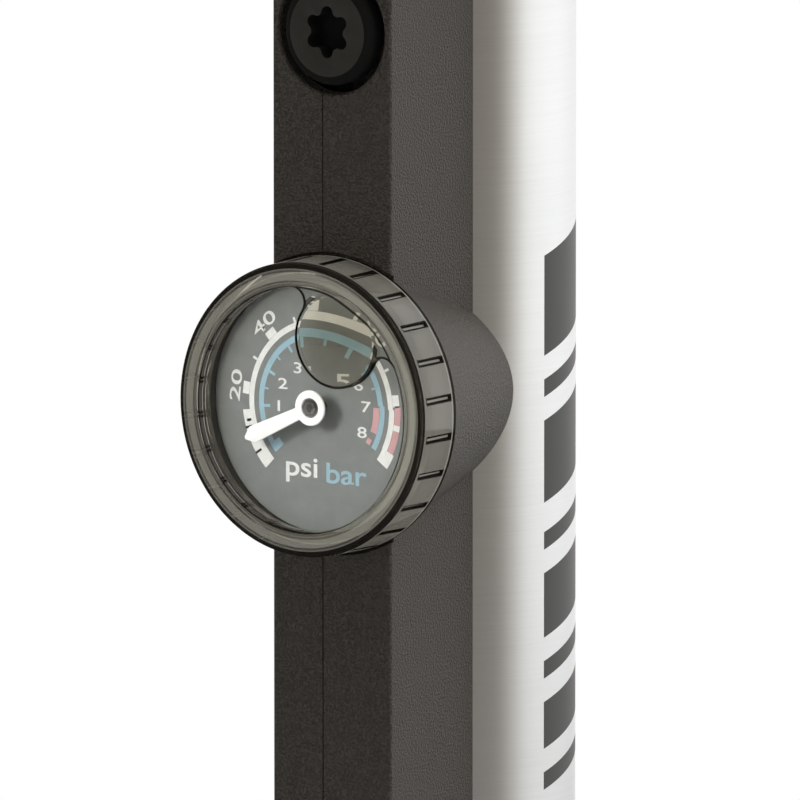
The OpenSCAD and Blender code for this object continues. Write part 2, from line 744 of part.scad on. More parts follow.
module gauge_socket() {
    color("#b89a55") on_gauge() difference() {
        union() {
            intersection() {
                translate([0, 0, case_floor]) cylinder(r = case_r - case_wall - free_gap, h = socket_h);
                translate([-7, -case_r, case_floor]) cube([18, case_r - 9.6, socket_h]);
            }
            translate([tube_x, -12, tube_front]) rotate([90, 0, 0]) cylinder(r = stem_r, h = case_r + stem_len - 12);
        }
        translate([tube_x, -case_r - stem_len + tube_insert, tube_front]) rotate([90, 0, 0])
            cylinder(r = tube_d / 2 + fit_gap, h = tube_insert + cut);
        translate([tube_x, -11, tube_front]) rotate([90, 0, 0]) cylinder(r = 1, h = case_r + stem_len);
        translate([0, 0, bourdon_z - fit_gap]) ring(bourdon_r + bourdon_t / 2 + fit_gap,
            bourdon_r - bourdon_t / 2 - fit_gap, bourdon_w + 2 * fit_gap);
        for (spot = plate_screw_spots) translate([spot[0], spot[1], plate_z - 3])
            cylinder(r = 0.6 + fit_gap, h = 4);
    }
}

module bourdon_tube() {
    color("#b5813f") on_gauge() translate([0, 0, bourdon_z]) rotate(bourdon_tip_angle) {
        rotate_extrude(angle = bourdon_sweep) translate([bourdon_r - bourdon_t / 2, 0]) square([bourdon_t, bourdon_w]);
        translate([bourdon_r, -0.6, 0]) cylinder(r = bourdon_t / 2 + 0.4, h = bourdon_w);
    }
}

module tip_link() {
    eye_r = 0.9;
    bar_r = 0.6;
    color("#9a9c9d") on_gauge() translate([0, 0, link_z]) difference() {
        union() {
            for (end = [bourdon_tip, tail_end]) translate([end[0], end[1], 0]) cylinder(r = eye_r, h = link_t);
            linear_extrude(height = link_t) polygon(tangent_points(bourdon_tip, bar_r, tail_end, bar_r));
        }
        translate([tail_end[0], tail_end[1], -cut]) cylinder(r = eye_r / 2, h = link_t + 2 * cut, $fn = 24);
    }
}

module movement_front_plate() {
    color("#b89a55") on_gauge() translate([0, 0, plate_z]) difference() {
        union() {
            linear_extrude(height = plate_t) lobe_outline([-3, -12.6], 3.5, [-3, 5], 3.5);
            linear_extrude(height = plate_t) lobe_outline([-2.7, -3], 3.2, sector_pivot, 2.5);
        }
        for (spot = [[0, 0], sector_pivot]) translate([spot[0], spot[1], -cut])
            cylinder(r = shaft_r + run_gap, h = plate_t + 2 * cut, $fn = 24);
        for (spot = plate_screw_spots) translate([spot[0], spot[1], -cut])
            cylinder(r = 0.6 + fit_gap, h = plate_t + 2 * cut, $fn = 24);
    }
}

module movement_rear_plate() {
    color("#b89a55") on_gauge() translate([0, 0, rear_plate_z]) {
        linear_extrude(height = rear_plate_t) difference() {
            union() {
                lobe_outline([-4, -4], 3, [-4, 4], 3);
                lobe_outline([-3, -3], 3, sector_pivot, 2.5);
            }
            circle(shaft_r + run_gap, $fn = 24);
            translate(sector_pivot) circle(shaft_r + run_gap, $fn = 24);
        }
        for (spot = pillar_spots) translate([spot[0], spot[1], rear_plate_t])
            cylinder(r = pillar_r, h = plate_z - rear_plate_z - rear_plate_t);
    }
}

module movement_screws() {
    color("#9a9c9d") on_gauge() for (spot = plate_screw_spots) translate([spot[0], spot[1], plate_z - 2.5]) {
        cylinder(r = 0.6, h = plate_t + 2.5);
        translate([0, 0, plate_t + 2.5]) cylinder(r = 1.1, h = 0.7);
    }
}

module sector_gear() {
    pitch_angle = 360 / sector_circle_teeth;
    toward = sector_bearing + 180;
    first = toward - 2 * pitch_angle;
    teeth = toothed_edge(sector_r, pitch_angle, first - (sector_teeth - 3) * pitch_angle, sector_teeth);
    color("#c2a65e") on_gauge() translate([sector_pivot[0], sector_pivot[1], sector_z]) {
        linear_extrude(height = sector_t) {
            circle(1.6);
            polygon(concat([[0, 0]], teeth));
            lobe_outline([0, 0], 1.4, tail_end - sector_pivot, 0.8);
        }
        translate([0, 0, rear_plate_z - sector_z + 0.1])
            cylinder(r = shaft_r, h = plate_z + plate_t - rear_plate_z - 0.2, $fn = 24);
    }
}

module pointer_shaft() {
    pitch_angle = 360 / pinion_teeth;
    color("#8e9091") on_gauge() {
        translate([0, 0, rear_plate_z + 0.1])
            cylinder(r = shaft_r, h = pointer_face + 0.3 - rear_plate_z - 0.1, $fn = 24);
        translate([0, 0, pinion_z]) rotate(sector_bearing) linear_extrude(height = pinion_t)
            polygon(toothed_edge(pinion_r, pitch_angle, pitch_angle / 2, pinion_teeth));
        translate([0, 0, dial_face + 0.8]) cylinder(r = 1, h = pointer_face - pointer_t - dial_face - 0.8);
    }
}

// Flat spiral strip round the pointer's shaft
module hairspring() {
    turns = 3.5;
    steps = 70;
    strip_t = 0.18;
    r_in = 0.9;
    r_out = 3.8;
    function spiral(t, off) = (r_in + (r_out - r_in) * t + off) * [cos(360 * turns * t), sin(360 * turns * t)];
    color("#a9abad") on_gauge() translate([0, 0, spring_z]) linear_extrude(height = 0.6)
        polygon(concat([for (i = [0 : steps]) spiral(i / steps, 0)], [for (i = [steps : -1 : 0]) spiral(i / steps, strip_t)]));
}

module dial() {
    color("#90918c") on_gauge() translate([0, 0, dial_back]) ring(pocket_r - fit_gap, 1.2, dial_t);
}

// Ring hub and a hand that widens towards its blunt arrow tip
module pointer() {
    hub_r = 3;
    root_w = 1.9;
    tip_w = 2.9;
    shoulder = pointer_len * 0.87;
    color("#f2f2ee") on_gauge() translate([0, 0, pointer_face - pointer_t]) linear_extrude(height = pointer_t)
        difference() {
            union() {
                circle(hub_r);
                rotate(zero_angle) polygon([[0, -root_w / 2], [shoulder, -tip_w / 2],
                    [pointer_len, 0], [shoulder, tip_w / 2], [0, root_w / 2]]);
            }
            circle(shaft_r + 0.02, $fn = 24);
        }
}

module bezel_gasket() {
    color("#2b2b2b") on_gauge() translate([0, 0, skirt_front]) ring(skirt_r, pocket_r + fit_gap, gasket_t);
}

// Raised part of the bezel's front: the ring, the land round the lens and the two fillets between them
module bezel_land() {
    land_r = lens_r + lens_land;
    lens_c = lens_out * [cos(lens_angle), sin(lens_angle)];
    reach = window_r - land_fillet_r;
    span = land_r + land_fillet_r;
    open_angle = acos((reach * reach + lens_out * lens_out - span * span) / (2 * reach * lens_out));
    meet_angle = acos((window_r * window_r + lens_out * lens_out - land_r * land_r) / (2 * window_r * lens_out));
    difference() {
        circle(bezel_r, $fn = 128);
        circle(window_r, $fn = 128);
    }
    intersection() {
        translate(lens_c) circle(land_r);
        circle(window_r + 1);
    }
    for (side = [-1, 1]) {
        fillet_dir = lens_angle + side * open_angle;
        meet_dir = lens_angle + side * meet_angle;
        fillet_c = reach * [cos(fillet_dir), sin(fillet_dir)];
        to_land = (lens_c - fillet_c) / span;
        difference() {
            polygon([fillet_c + land_fillet_r * [cos(fillet_dir), sin(fillet_dir)],
                (window_r + 0.8) * [cos(fillet_dir), sin(fillet_dir)], (window_r + 0.8) * [cos(meet_dir), sin(meet_dir)],
                lens_c, fillet_c + land_fillet_r * to_land, fillet_c]);
            translate(fillet_c) circle(land_fillet_r);
        }
    }
}

module bezel() {
    dome_r = (lens_r * lens_r + lens_rise * lens_rise) / (2 * lens_rise);
    inner_r = skirt_r + run_gap;
    color([0.45, 0.44, 0.38, 0.45]) on_gauge() difference() {
        union() {
            difference() {
                translate([0, 0, bezel_back])
                    cylinder(r1 = bezel_r + bezel_draft, r2 = bezel_r, h = window_front - bezel_back, $fn = 128);
                translate([0, 0, bezel_back - cut])
                    cylinder(r = inner_r, h = bezel_shoulder - bezel_back + cut, $fn = 128);
                translate([0, 0, bezel_back]) cylinder(r = window_r, h = window_back - bezel_back, $fn = 128);
            }
            translate([0, 0, window_front - 0.01]) linear_extrude(height = window_sink + 0.01) bezel_land();
            translate([lens_out * cos(lens_angle), lens_out * sin(lens_angle), bezel_front - 0.01]) intersection() {
                cylinder(r = lens_r, h = lens_rise + 0.01);
                translate([0, 0, lens_rise - dome_r]) rotate([90, 0, 0]) sphere(r = dome_r);
            }
            translate([0, 0, bead_z]) ring(inner_r + 0.5, skirt_r - bead_depth, bead_h);
        }
        for (i = [0 : notch_count - 1]) rotate(360 * (i + 0.5) / notch_count)
            translate([bezel_r + bezel_draft / 2 - notch_depth, -notch_w / 2, (bezel_back + bezel_front - notch_len) / 2])
                cube([2, notch_w, notch_len]);
    }
}

// ---------- Top cap ----------

module top_cap() {
    cap_r = barrel_r + cap_wall;
    crown = 3;
    color("#26251f") difference() {
        union() {
            translate([0, 0, cap_z]) rotate_extrude() polygon([[0, 0], [cap_r - 1, 0], [cap_r, 1],
                [cap_r, cap_top - cap_z - crown], [cap_r - crown, cap_top - cap_z], [0, cap_top - cap_z]]);
            translate([0, 0, cap_z]) linear_extrude(height = cap_top - cap_z - crown)
                front_block(socket_w, socket_front, socket_corner_r);
        }
        translate([0, 0, cap_z - cut]) cylinder(r = barrel_r + fit_gap, h = cap_grip + cut);
        translate([0, 0, cap_z - cut]) linear_extrude(height = cap_grip + cut)
            translate([-rail_w / 2 - fit_gap, -rail_front - fit_gap]) square([rail_w + 2 * fit_gap, rail_front]);
        translate([0, 0, cap_z - cut]) linear_extrude(height = spine_entry + cut + fit_gap)
            front_block(spine_w + 2 * fit_gap, face + fit_gap, spine_edge_r);
        translate([0, 0, barrel_top - cut]) cylinder(r = bush_d / 2 + fit_gap, h = cap_rise + 2 * cut);
        translate([0, 0, cap_top - 1]) cylinder(r = bush_d / 2 + 4 + fit_gap, h = 2);
        for (a = [60 : 120 : 300]) rotate(a) translate([(bush_d / 2 + bore_r) / 2 + 2, 0, barrel_top - cut])
            cylinder(r = 1.2, h = cap_rise + 2 * cut);
        for (side = [-1, 1]) translate([0, 0, cap_z + cap_grip / 2]) rotate([0, side * 90, 0]) {
            cylinder(r = 2 + fit_gap, h = cap_r + cut);
            translate([0, 0, cap_r - 2.2]) cylinder(r = 4, h = 3);
        }
    }
}

module cap_screws() {
    cap_r = barrel_r + cap_wall;
    color("#8d9094") for (side = [-1, 1]) translate([0, 0, cap_z + cap_grip / 2]) rotate([0, side * 90, 0]) difference() {
        union() {
            translate([0, 0, barrel_r + fit_gap]) cylinder(r = 2, h = cap_wall - 1);
            translate([0, 0, cap_r - 2.2]) domed_head(3.7, 2);
        }
        translate([0, 0, cap_r - 1.4]) hex_bar(2.5, 3);
    }
}

module guide_bush() {
    flange_r = bore_r - 1;
    color("#c9c4b4") difference() {
        union() {
            translate([0, 0, barrel_top - 2.5]) cylinder(r = flange_r, h = 2.5);
            translate([0, 0, barrel_top]) cylinder(r = bush_d / 2, h = cap_rise - 4.5);
        }
        translate([0, 0, barrel_top - 3]) cylinder(r = rod_r + run_gap, h = cap_rise + 4);
    }
}

module rod_wiper() {
    color("#2b2b2b") translate([0, 0, cap_top - 4.5]) ring(bush_d / 2, rod_r + run_gap, 3.5);
}

module cap_bumper() {
    outer = bush_d / 2 + 4;
    color("#34332f") translate([0, 0, cap_top - 1]) rotate_extrude() polygon([[rod_r + 1, 0], [outer, 0],
        [outer, bumper_h - 0.5], [outer - 1.5, bumper_h + 1], [rod_r + 2, bumper_h + 1], [rod_r + 1, bumper_h]]);
}

// ---------- Plunger ----------

module piston_ring() {
    color("#2b2b2b") translate([0, 0, ring_z]) ring(bore_r - run_gap, bore_r - ring_t, ring_h);
}

module piston() {
    lead = 1.5;
    color("#3b3b39") difference() {
        translate([0, 0, piston_z]) rotate_extrude() polygon([[0, 0], [piston_r - lead, 0], [piston_r, lead],
            [piston_r, ring_z - piston_z - 0.1], [groove_r, ring_z - piston_z - 0.1],
            [groove_r, ring_z - piston_z + ring_h + 0.1], [piston_r, ring_z - piston_z + ring_h + 0.1],
            [piston_r, piston_h - lead], [piston_r - lead, piston_h], [0, piston_h]]);
        translate([0, 0, piston_z - cut]) cylinder(r = spigot_r + fit_gap, h = piston_h + 2 * cut);
    }
}

module piston_washer() {
    color("#9a9c9d") translate([0, 0, piston_z - washer_t]) ring(9, spigot_r + fit_gap, washer_t);
}

module piston_nut() {
    color("#9a9c9d") translate([0, 0, piston_z - washer_t - nut_h]) difference() {
        hex_bar(13, nut_h);
        translate([0, 0, -cut]) cylinder(r = spigot_r + fit_gap, h = nut_h + 2 * cut);
    }
}

module rod_tip_lower() {
    foot = piston_z - washer_t - nut_h - 1;
    color("#8d9094") {
        translate([0, 0, foot]) cylinder(r = spigot_r, h = piston_top - foot);
        translate([0, 0, piston_top]) cylinder(r = rod_bore_r - fit_gap, h = rod_tip_len);
    }
}

module piston_rod() {
    color("#c4c6c8") translate([0, 0, piston_top]) ring(rod_r, rod_bore_r, rod_top - piston_top);
}

module rod_tip_upper() {
    color("#8d9094") translate([0, 0, rod_top - rod_tip_len]) difference() {
        cylinder(r = rod_bore_r - fit_gap, h = rod_tip_len);
        translate([0, 0, 2]) cylinder(r = handle_screw_r - 0.5 + fit_gap, h = rod_tip_len);
    }
}

// ---------- Handle ----------

module handle_core() {
    lip = 2.5;
    neck_r = handle_hub_r - 2;
    color("#26251f") difference() {
        union() {
            translate([0, 0, hub_z]) rotate_extrude() polygon([[0, 0], [neck_r, 0], [neck_r + 2, 3],
                [handle_hub_r, hub_h - 10], [handle_hub_r - 1.2, hub_h - 5], [handle_hub_r - 4.5, hub_h - 1.5],
                [handle_hub_r - 6.5, hub_h], [0, hub_h]]);
            translate([-grip_end + fit_gap, 0, handle_z]) rotate([0, 90, 0])
                cylinder(r = arm_r, h = 2 * (grip_end - fit_gap));
            for (side = [-1, 1]) translate([0, 0, handle_z]) rotate([0, side * 90, 0])
                cylinder(r1 = handle_hub_r - 0.5, r2 = grip_r - 0.5, h = grip_start - fit_gap);
        }
        translate([0, 0, hub_z - cut]) cylinder(r = rod_r + fit_gap, h = rod_top - hub_z + cut);
        translate([0, 0, rod_top - cut]) cylinder(r = handle_screw_r + fit_gap, h = hub_h);
        translate([0, 0, screw_seat_z]) cylinder(r = handle_plug_r, h = hub_h);
    }
}

// One grip, drawn from its inner flange outwards along +X
module grip(side) {
    len = grip_end - grip_start;
    flange = 4;
    groove = 0.9;
    pitch = (len - 3 * flange) / grip_grooves;
    ribs = [for (i = [0 : grip_grooves - 1], k = [0 : 3])
        let (x = 2 * flange + pitch * (i + [0.1, 0.3, 0.7, 0.9][k]), swell = 1.2 * sin(180 * x / len))
        [grip_r - 1.4 + swell - (k == 1 || k == 2 ? groove : 0), x]];
    color("#34332f") translate([0, 0, handle_z]) rotate([0, side * 90, 0]) translate([0, 0, grip_start])
        rotate_extrude() polygon(concat([[arm_r + fit_gap, 0], [grip_r - 0.5, 0], [grip_r + 0.5, 1.2],
            [grip_r + 0.5, flange - 1], [grip_r - 1, flange]], ribs,
            [[grip_r - 1, len - flange], [grip_r, len - 2], [grip_r, len], [arm_r + fit_gap, len]]));
}
module grip_left() { grip(-1); }
module grip_right() { grip(1); }

module grip_cap(side) {
    edge = 1.8;
    color("#26251f") translate([0, 0, handle_z]) rotate([0, side * 90, 0]) translate([0, 0, grip_end])
        rotate_extrude() polygon([[0, 0], [grip_r, 0], [grip_r, grip_cap_t - edge], [grip_r - 0.6, grip_cap_t - 0.6],
            [grip_r - edge, grip_cap_t], [0, grip_cap_t]]);
}
module grip_cap_left() { grip_cap(-1); }
module grip_cap_right() { grip_cap(1); }

module handle_washer() {
    color("#9a9c9d") translate([0, 0, screw_seat_z]) ring(8, handle_screw_r + fit_gap, 1.4);
}

module handle_bolt() {
    seat = screw_seat_z + 1.4;
    shank = seat - rod_top + 14;
    color("#8d9094") difference() {
        union() {
            translate([0, 0, seat]) domed_head(7, 4.4);
            translate([0, 0, seat - shank]) cylinder(r = handle_screw_r - 0.5, h = shank);
        }
        translate([0, 0, seat + 1.8]) hex_bar(5, 4);
    }
}

module handle_plug() {
    color("#34332f") translate([0, 0, hub_crown - 3]) rotate_extrude() polygon([[0, 0], [handle_plug_r - fit_gap, 0],
        [handle_plug_r - fit_gap, 2.4], [handle_plug_r - 0.8, 3.2], [handle_plug_r / 2, 3.8], [0, 4]]);
}

base();
foot_tread_left();
foot_tread_right();
base_feet();
foot_screws();
hose_socket();
valve_seat();
valve_poppet();
valve_spring();
valve_cap();
tube_fitting();
air_tube();
barrel_seal();
barrel();
rail_nuts();
spine();
spine_bolts();
gauge_case();
gauge_socket();
bourdon_tube();
tip_link();
movement_front_plate();
movement_rear_plate();
movement_screws();
sector_gear();
pointer_shaft();
hairspring();
dial();
pointer();
bezel_gasket();
bezel();
top_cap();
cap_screws();
guide_bush();
rod_wiper();
cap_bumper();
piston_ring();
piston();
piston_washer();
piston_nut();
rod_tip_lower();
piston_rod();
rod_tip_upper();
handle_core();
grip_left();
grip_right();
grip_cap_left();
grip_cap_right();
handle_washer();
handle_bolt();
handle_plug();
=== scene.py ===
import json
import math

import bpy
from bpy.props import FloatProperty, FloatVectorProperty, IntProperty
from mathutils import Matrix, Vector


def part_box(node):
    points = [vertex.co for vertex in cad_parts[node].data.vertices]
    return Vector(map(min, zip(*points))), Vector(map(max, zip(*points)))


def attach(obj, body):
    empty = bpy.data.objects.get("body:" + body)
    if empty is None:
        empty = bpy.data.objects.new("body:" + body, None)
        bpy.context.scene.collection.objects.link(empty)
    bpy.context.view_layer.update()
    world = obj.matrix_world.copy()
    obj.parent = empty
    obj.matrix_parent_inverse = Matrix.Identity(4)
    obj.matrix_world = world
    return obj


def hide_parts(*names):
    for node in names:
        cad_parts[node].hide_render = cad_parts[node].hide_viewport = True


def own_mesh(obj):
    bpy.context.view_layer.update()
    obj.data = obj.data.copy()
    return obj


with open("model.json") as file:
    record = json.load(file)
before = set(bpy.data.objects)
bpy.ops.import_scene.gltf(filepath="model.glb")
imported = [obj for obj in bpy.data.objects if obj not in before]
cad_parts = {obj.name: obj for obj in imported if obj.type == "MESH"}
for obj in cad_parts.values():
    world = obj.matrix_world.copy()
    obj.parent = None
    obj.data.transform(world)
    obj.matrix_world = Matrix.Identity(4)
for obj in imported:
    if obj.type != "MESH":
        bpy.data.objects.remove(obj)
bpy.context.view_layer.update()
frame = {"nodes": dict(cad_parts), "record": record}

bl_info = {
    "name": "Floor Pump Dressing",
    "version": (1, 0, 0),
    "blender": (4, 5, 0),
    "location": "3D View > Sidebar > Pump",
    "description": "Dresses the floor pump with its finished mouldings, gauge, prints and materials",
    "category": "Object",
}

MM = 0.001


def low(node):
    """Lowest corner of a CAD node in millimetres."""
    return Vector(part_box(node)[0]) / MM


def high(node):
    """Highest corner of a CAD node in millimetres."""
    return Vector(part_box(node)[1]) / MM


def polar(radius, degrees):
    """Point at a radius and an angle from three o'clock."""
    return (radius * math.cos(math.radians(degrees)), radius * math.sin(math.radians(degrees)))


def moved(x, y, z):
    """Matrix that moves by millimetres."""
    return Matrix.Translation((x * MM, y * MM, z * MM))


def rotated(degrees, axis="Z"):
    return Matrix.Rotation(math.radians(degrees), 4, axis)


def forward_at(z):
    """Place that lays a turned piece's axis forward, at a height in millimetres."""
    return moved(0, 0, z) @ rotated(90, "X")


# Levels taken from the frame, in millimetres. In the gauge, z is the distance forward of the barrel axis.
GAUGE_Z = (low("bezel").z + high("bezel").z) / 2
SPINE_FACE = -low("spine").y
DIAL_FACE = -low("dial").y
POINTER_FACE = -low("pointer").y
COVER_BACK = -high("bezel").y
COVER_R = high("bezel").x
BARREL_R = high("barrel").x
BARREL_LOW = low("barrel").z
BARREL_TOP = high("barrel").z
RAIL_FRONT = -low("barrel").y
BOLT_R = high("spine_bolts").x
BOLT_HIGH = high("spine_bolts").z - BOLT_R
BOLT_LOW = low("spine_bolts").z + BOLT_R
HANDLE_Z = (low("grip_left").z + high("grip_left").z) / 2
GRIP_IN = low("grip_right").x
GRIP_OUT = high("grip_right").x
ON_GAUGE = forward_at(GAUGE_Z)

# Sizes that shapes and finishes share, in millimetres
RIM = SPINE_FACE - 0.9
COVER_FRONT = COVER_BACK + 9.8
COVER_DRAFT = 0.2
HOUSING_TAIL_R = 16.35
HOUSING_RIM_R = 24.1
HOUSING_DEPTH = 30.5
SEAT_R = 10.6
SEAT_DEPTH = 2.5


# ---------- Sizes and colours a user would change ----------

def length_field(label, text, value):
    return FloatProperty(name=label, description=text, default=value * MM, unit="LENGTH")


def angle_field(label, text, degrees):
    return FloatProperty(name=label, description=text, default=math.radians(degrees), subtype="ANGLE")


def colour_field(label, text, value):
    return FloatVectorProperty(name=label, description=text, default=value, size=3, subtype="COLOR")


class PumpCoverSizes(bpy.types.PropertyGroup):
    ring_width: length_field("Ring width", "Width of the cover's front ring", 4.1)
    window_sink: length_field("Window depth", "How far the window lies below the ring", 1.2)
    window_thick: length_field("Window thickness", "Thickness of the clear window", 1.1)
    lens_radius: length_field("Lens radius", "Radius of the magnifying lens", 7.4)
    lens_rise: length_field("Lens rise", "Height of the lens's dome", 2.0)
    lens_out: length_field("Lens distance", "Distance of the lens from the gauge axis", 14.3)
    lens_angle: angle_field("Lens direction", "Direction of the lens, from three o'clock", 60)
    lens_land: length_field("Lens land", "Width of the raised land round the lens", 0.8)
    land_fillet: length_field("Land fillet", "Radius of the fillets that run the land into the ring", 2.4)
    front_round: length_field("Front rounding", "Radius of the ring's front edge", 0.9)
    notch_length: length_field("Notch length", "Length of a grip notch", 6.8)
    notch_width: length_field("Notch width", "Width of a grip notch", 0.8)
    notches: IntProperty(name="Notches", description="Number of grip notches round the rim",
                         default=24, min=4, max=48)


class PumpPrintSizes(bpy.types.PropertyGroup):
    zero_angle: angle_field("Zero angle", "Direction of zero pressure, from three o'clock", 214.5)
    step_angle: angle_field("Angle per 10", "Angle between two small outer marks", 20.7)
    bar_angle: angle_field("Angle per bar", "Angle between two inner marks", 30)


class PumpColours(bpy.types.PropertyGroup):
    moulding: colour_field("Moulding", "Black plastic", (0.0056, 0.0049, 0.0039))
    barrel: colour_field("Barrel", "Brushed metal", (0.75, 0.76, 0.752))
    dial: colour_field("Dial", "Dial plate", (0.205, 0.219, 0.216))
    print_white: colour_field("White print", "Outer scale", (0.74, 0.755, 0.74))
    print_blue: colour_field("Blue print", "Inner scale", (0.30, 0.46, 0.54))
    print_red: colour_field("Red print", "High pressure zone", (0.58, 0.34, 0.35))
    rubber: colour_field("Rubber", "Grips and treads", (0.040, 0.039, 0.036))


# ---------- Materials ----------

class Value:
    """A socket's number. Sums, products and comparisons on it add Math nodes to its tree."""

    def __init__(self, maker, socket):
        self.maker = maker
        self.socket = socket

    def math(self, operation, *others, clamp=False):
        return self.maker.node("ShaderNodeMath", {"operation": operation, "use_clamp": clamp}, self, *others)

    def __add__(self, other):
        return self.math("ADD", other)

    __radd__ = __add__

    def __sub__(self, other):
        return self.math("SUBTRACT", other)

    def __rsub__(self, other):
        return self.maker.node("ShaderNodeMath", {"operation": "SUBTRACT"}, other, self)

    def __mul__(self, other):
        return self.math("MULTIPLY", other)

    __rmul__ = __mul__

    def __truediv__(self, other):
        return self.math("DIVIDE", other)

    def __pow__(self, other):
        return self.math("POWER", other)

    def __gt__(self, other):
        return self.math("GREATER_THAN", other)

    def __lt__(self, other):
        return self.math("LESS_THAN", other)

    def __abs__(self):
        return self.math("ABSOLUTE")

    def most(self, other):
        """The greater of two values."""
        return self.math("MAXIMUM", other)

    def clamped(self):
        """The value kept between 0 and 1."""
        return self.math("ADD", 0.0, clamp=True)

    def band(self, start, end):
        """1 between two values and 0 outside them."""
        return (self > start) * (self < end)


class Tree:
    """A node tree in the making, emptied first, with the coordinates that its patterns read."""

    def __init__(self, tree, coordinates):
        self.tree = tree
        self.tree.nodes.clear()
        self.place = self.node("ShaderNodeTexCoord", {}, out=coordinates)

    def wire(self, socket, value):
        if isinstance(value, Value):
            self.tree.links.new(value.socket, socket)
        elif hasattr(value, "__len__") and len(value) == 3 and socket.type == "RGBA":
            socket.default_value = (*value, 1)
        else:
            socket.default_value = value

    def node(self, kind, settings, *inputs, out=0, **named):
        made = self.tree.nodes.new(kind)
        for key, value in settings.items():
            setattr(made, key, value)
        for socket, value in zip(made.inputs, inputs):
            self.wire(socket, value)
        for key, value in named.items():
            self.wire(made.inputs[key.replace("_", " ")], value)
        return Value(self, made.outputs[out])

    def ramp(self, factor, *stops):
        made = self.tree.nodes.new("ShaderNodeValToRGB")
        points = made.color_ramp.elements
        while len(points) < len(stops):
            points.new(0.5)
        for point, (position, colour) in zip(points, stops):
            point.position = position
            point.color = (*colour, 1)
        self.wire(made.inputs["Fac"], factor)
        return Value(self, made.outputs["Color"])

    def stretch(self, x=1, y=1, z=1):
        return self.node("ShaderNodeMapping", {}, Vector=self.place, Scale=(x, y, z))

    def noise(self, scale, detail=2.0, rough=0.5, place=None):
        return self.node("ShaderNodeTexNoise", {"noise_dimensions": "3D"}, Vector=place or self.place,
                         Scale=scale, Detail=detail, Roughness=rough)

    def parts(self):
        """The three coordinates of a point. On an object they are in metres."""
        made = self.tree.nodes.new("ShaderNodeSeparateXYZ")
        self.wire(made.inputs[0], self.place)
        return [Value(self, socket) for socket in made.outputs]

    def turn(self, across, along):
        """Angle of a direction given by two coordinates, in radians."""
        return self.node("ShaderNodeMath", {"operation": "ARCTAN2"}, across, along)

    def blend(self, factor, first, second):
        made = self.tree.nodes.new("ShaderNodeMix")
        made.data_type = "RGBA"
        for key, value in (("Factor_Float", factor), ("A_Color", first), ("B_Color", second)):
            self.wire(next(s for s in made.inputs if s.identifier == key), value)
        return Value(self, next(s for s in made.outputs if s.identifier == "Result_Color"))

    def ray(self, kind):
        """1 for rays of a kind and 0 for others."""
        return self.node("ShaderNodeLightPath", {}, out=kind)


class Finish(Tree):
    """A material in the making: one shader with its constants set, and nodes behind the sockets that vary."""

    def __init__(self, name, colour=(0.8, 0.8, 0.8), roughness=0.5, metallic=0.0, **constants):
        self.material = bpy.data.materials.new(name)
        self.material.use_nodes = True
        super().__init__(self.material.node_tree, "Object")
        self.output = self.tree.nodes.new("ShaderNodeOutputMaterial")
        self.shader = self.tree.nodes.new("ShaderNodeBsdfPrincipled")
        self.surface = Value(self, self.shader.outputs["BSDF"])
        self.wire(self.output.inputs["Surface"], self.surface)
        self.set("Base Color", colour)
        self.set("Roughness", roughness)
        self.set("Metallic", metallic)
        for socket, value in constants.items():
            self.set(socket.replace("_", " "), value)

    def set(self, socket, value):
        self.wire(self.shader.inputs[socket], value)

    def relief(self, height, depth, edge=0.0):
        """Bumps from a height between 0 and 1, over edges softened to a radius."""
        named = {"Height": height, "Strength": 1.0, "Distance": depth}
        if edge:
            named["Normal"] = self.node("ShaderNodeBevel", {"samples": 6}, Radius=edge)
        self.set("Normal", self.node("ShaderNodeBump", {}, **named))


FINISHES = {}
OWN_LOOKS = {"gauge_case": "dark_surround"}
SLOTS = {entry["slot"] for entry in frame["record"]["materials"]}


def kept(name, *looks, **constants):
    """A new finish, whose material is filed under its name."""
    finish = Finish(name, *looks, **constants)
    FINISHES[name] = finish.material
    return finish


def shade(colour, times):
    return tuple(min(1.0, c * times) for c in colour)


def moulding_finishes(colours):
    for name, grain, depth, rough in (("black_moulding", 1400, 0.00008, 0.46),
                                      ("textured_moulding", 2500, 0.0008, 0.50)):
        f = kept(name, roughness=rough, IOR=2.0, Specular_Tint=(1.0, 0.93, 0.85))
        cloud = f.noise(9, 3)
        speck = f.noise(grain, 3, 0.6)
        dark, light = shade(colours.moulding, 0.05), shade(colours.moulding, 5.0)
        f.set("Base Color", f.ramp(cloud * 0.15 + speck * 0.85, (0.44, dark), (0.60, light)))
        f.set("Roughness", cloud * 0.1 + speck * 0.3 + (rough - 0.2))
        f.relief(speck, depth, 0.00028)


def barrel_finish(colours):
    """Metal brushed round the tube, with a row of slanting dark bars printed down its right side."""
    f = kept("brushed_barrel", roughness=0.33, metallic=1.0, IOR=1.45)
    lines = f.noise(1, 4, 0.7, f.stretch(60, 60, 14000))
    broad = f.noise(1, 3, 0.6, f.stretch(25, 25, 2200))
    wear = f.noise(35, 4, 0.6)
    dull, bright = shade(colours.barrel, 0.94), shade(colours.barrel, 1.03)
    metal = f.ramp(lines * 0.55 + broad * 0.45, (0.3, dull), (0.7, bright))
    x, y, z = f.parts()
    turn = f.turn(x, y * -1)
    print_start, slant = GAUGE_Z + 23, BARREL_R * 0.35
    down = turn * slant + (z * -1 + print_start * MM) / MM
    print_mask = None
    for top, length in ((10, 17), (31, 3), (38, 14), (57, 3), (64, 11), (79, 3), (86, 8), (98, 3)):
        bar = down.band(top, top + length)
        print_mask = bar if print_mask is None else print_mask + bar
    print_mask = print_mask * turn.band(math.radians(80), math.radians(136))
    f.set("Base Color", f.blend(print_mask, metal, (0.055, 0.055, 0.05)))
    f.set("Metallic", 1 - print_mask)
    f.set("Roughness", lines * 0.10 + wear * 0.08 + 0.24 + print_mask * 0.12)
    f.relief(lines * 0.6 + broad * 0.4, 0.0000025, 0.0003)


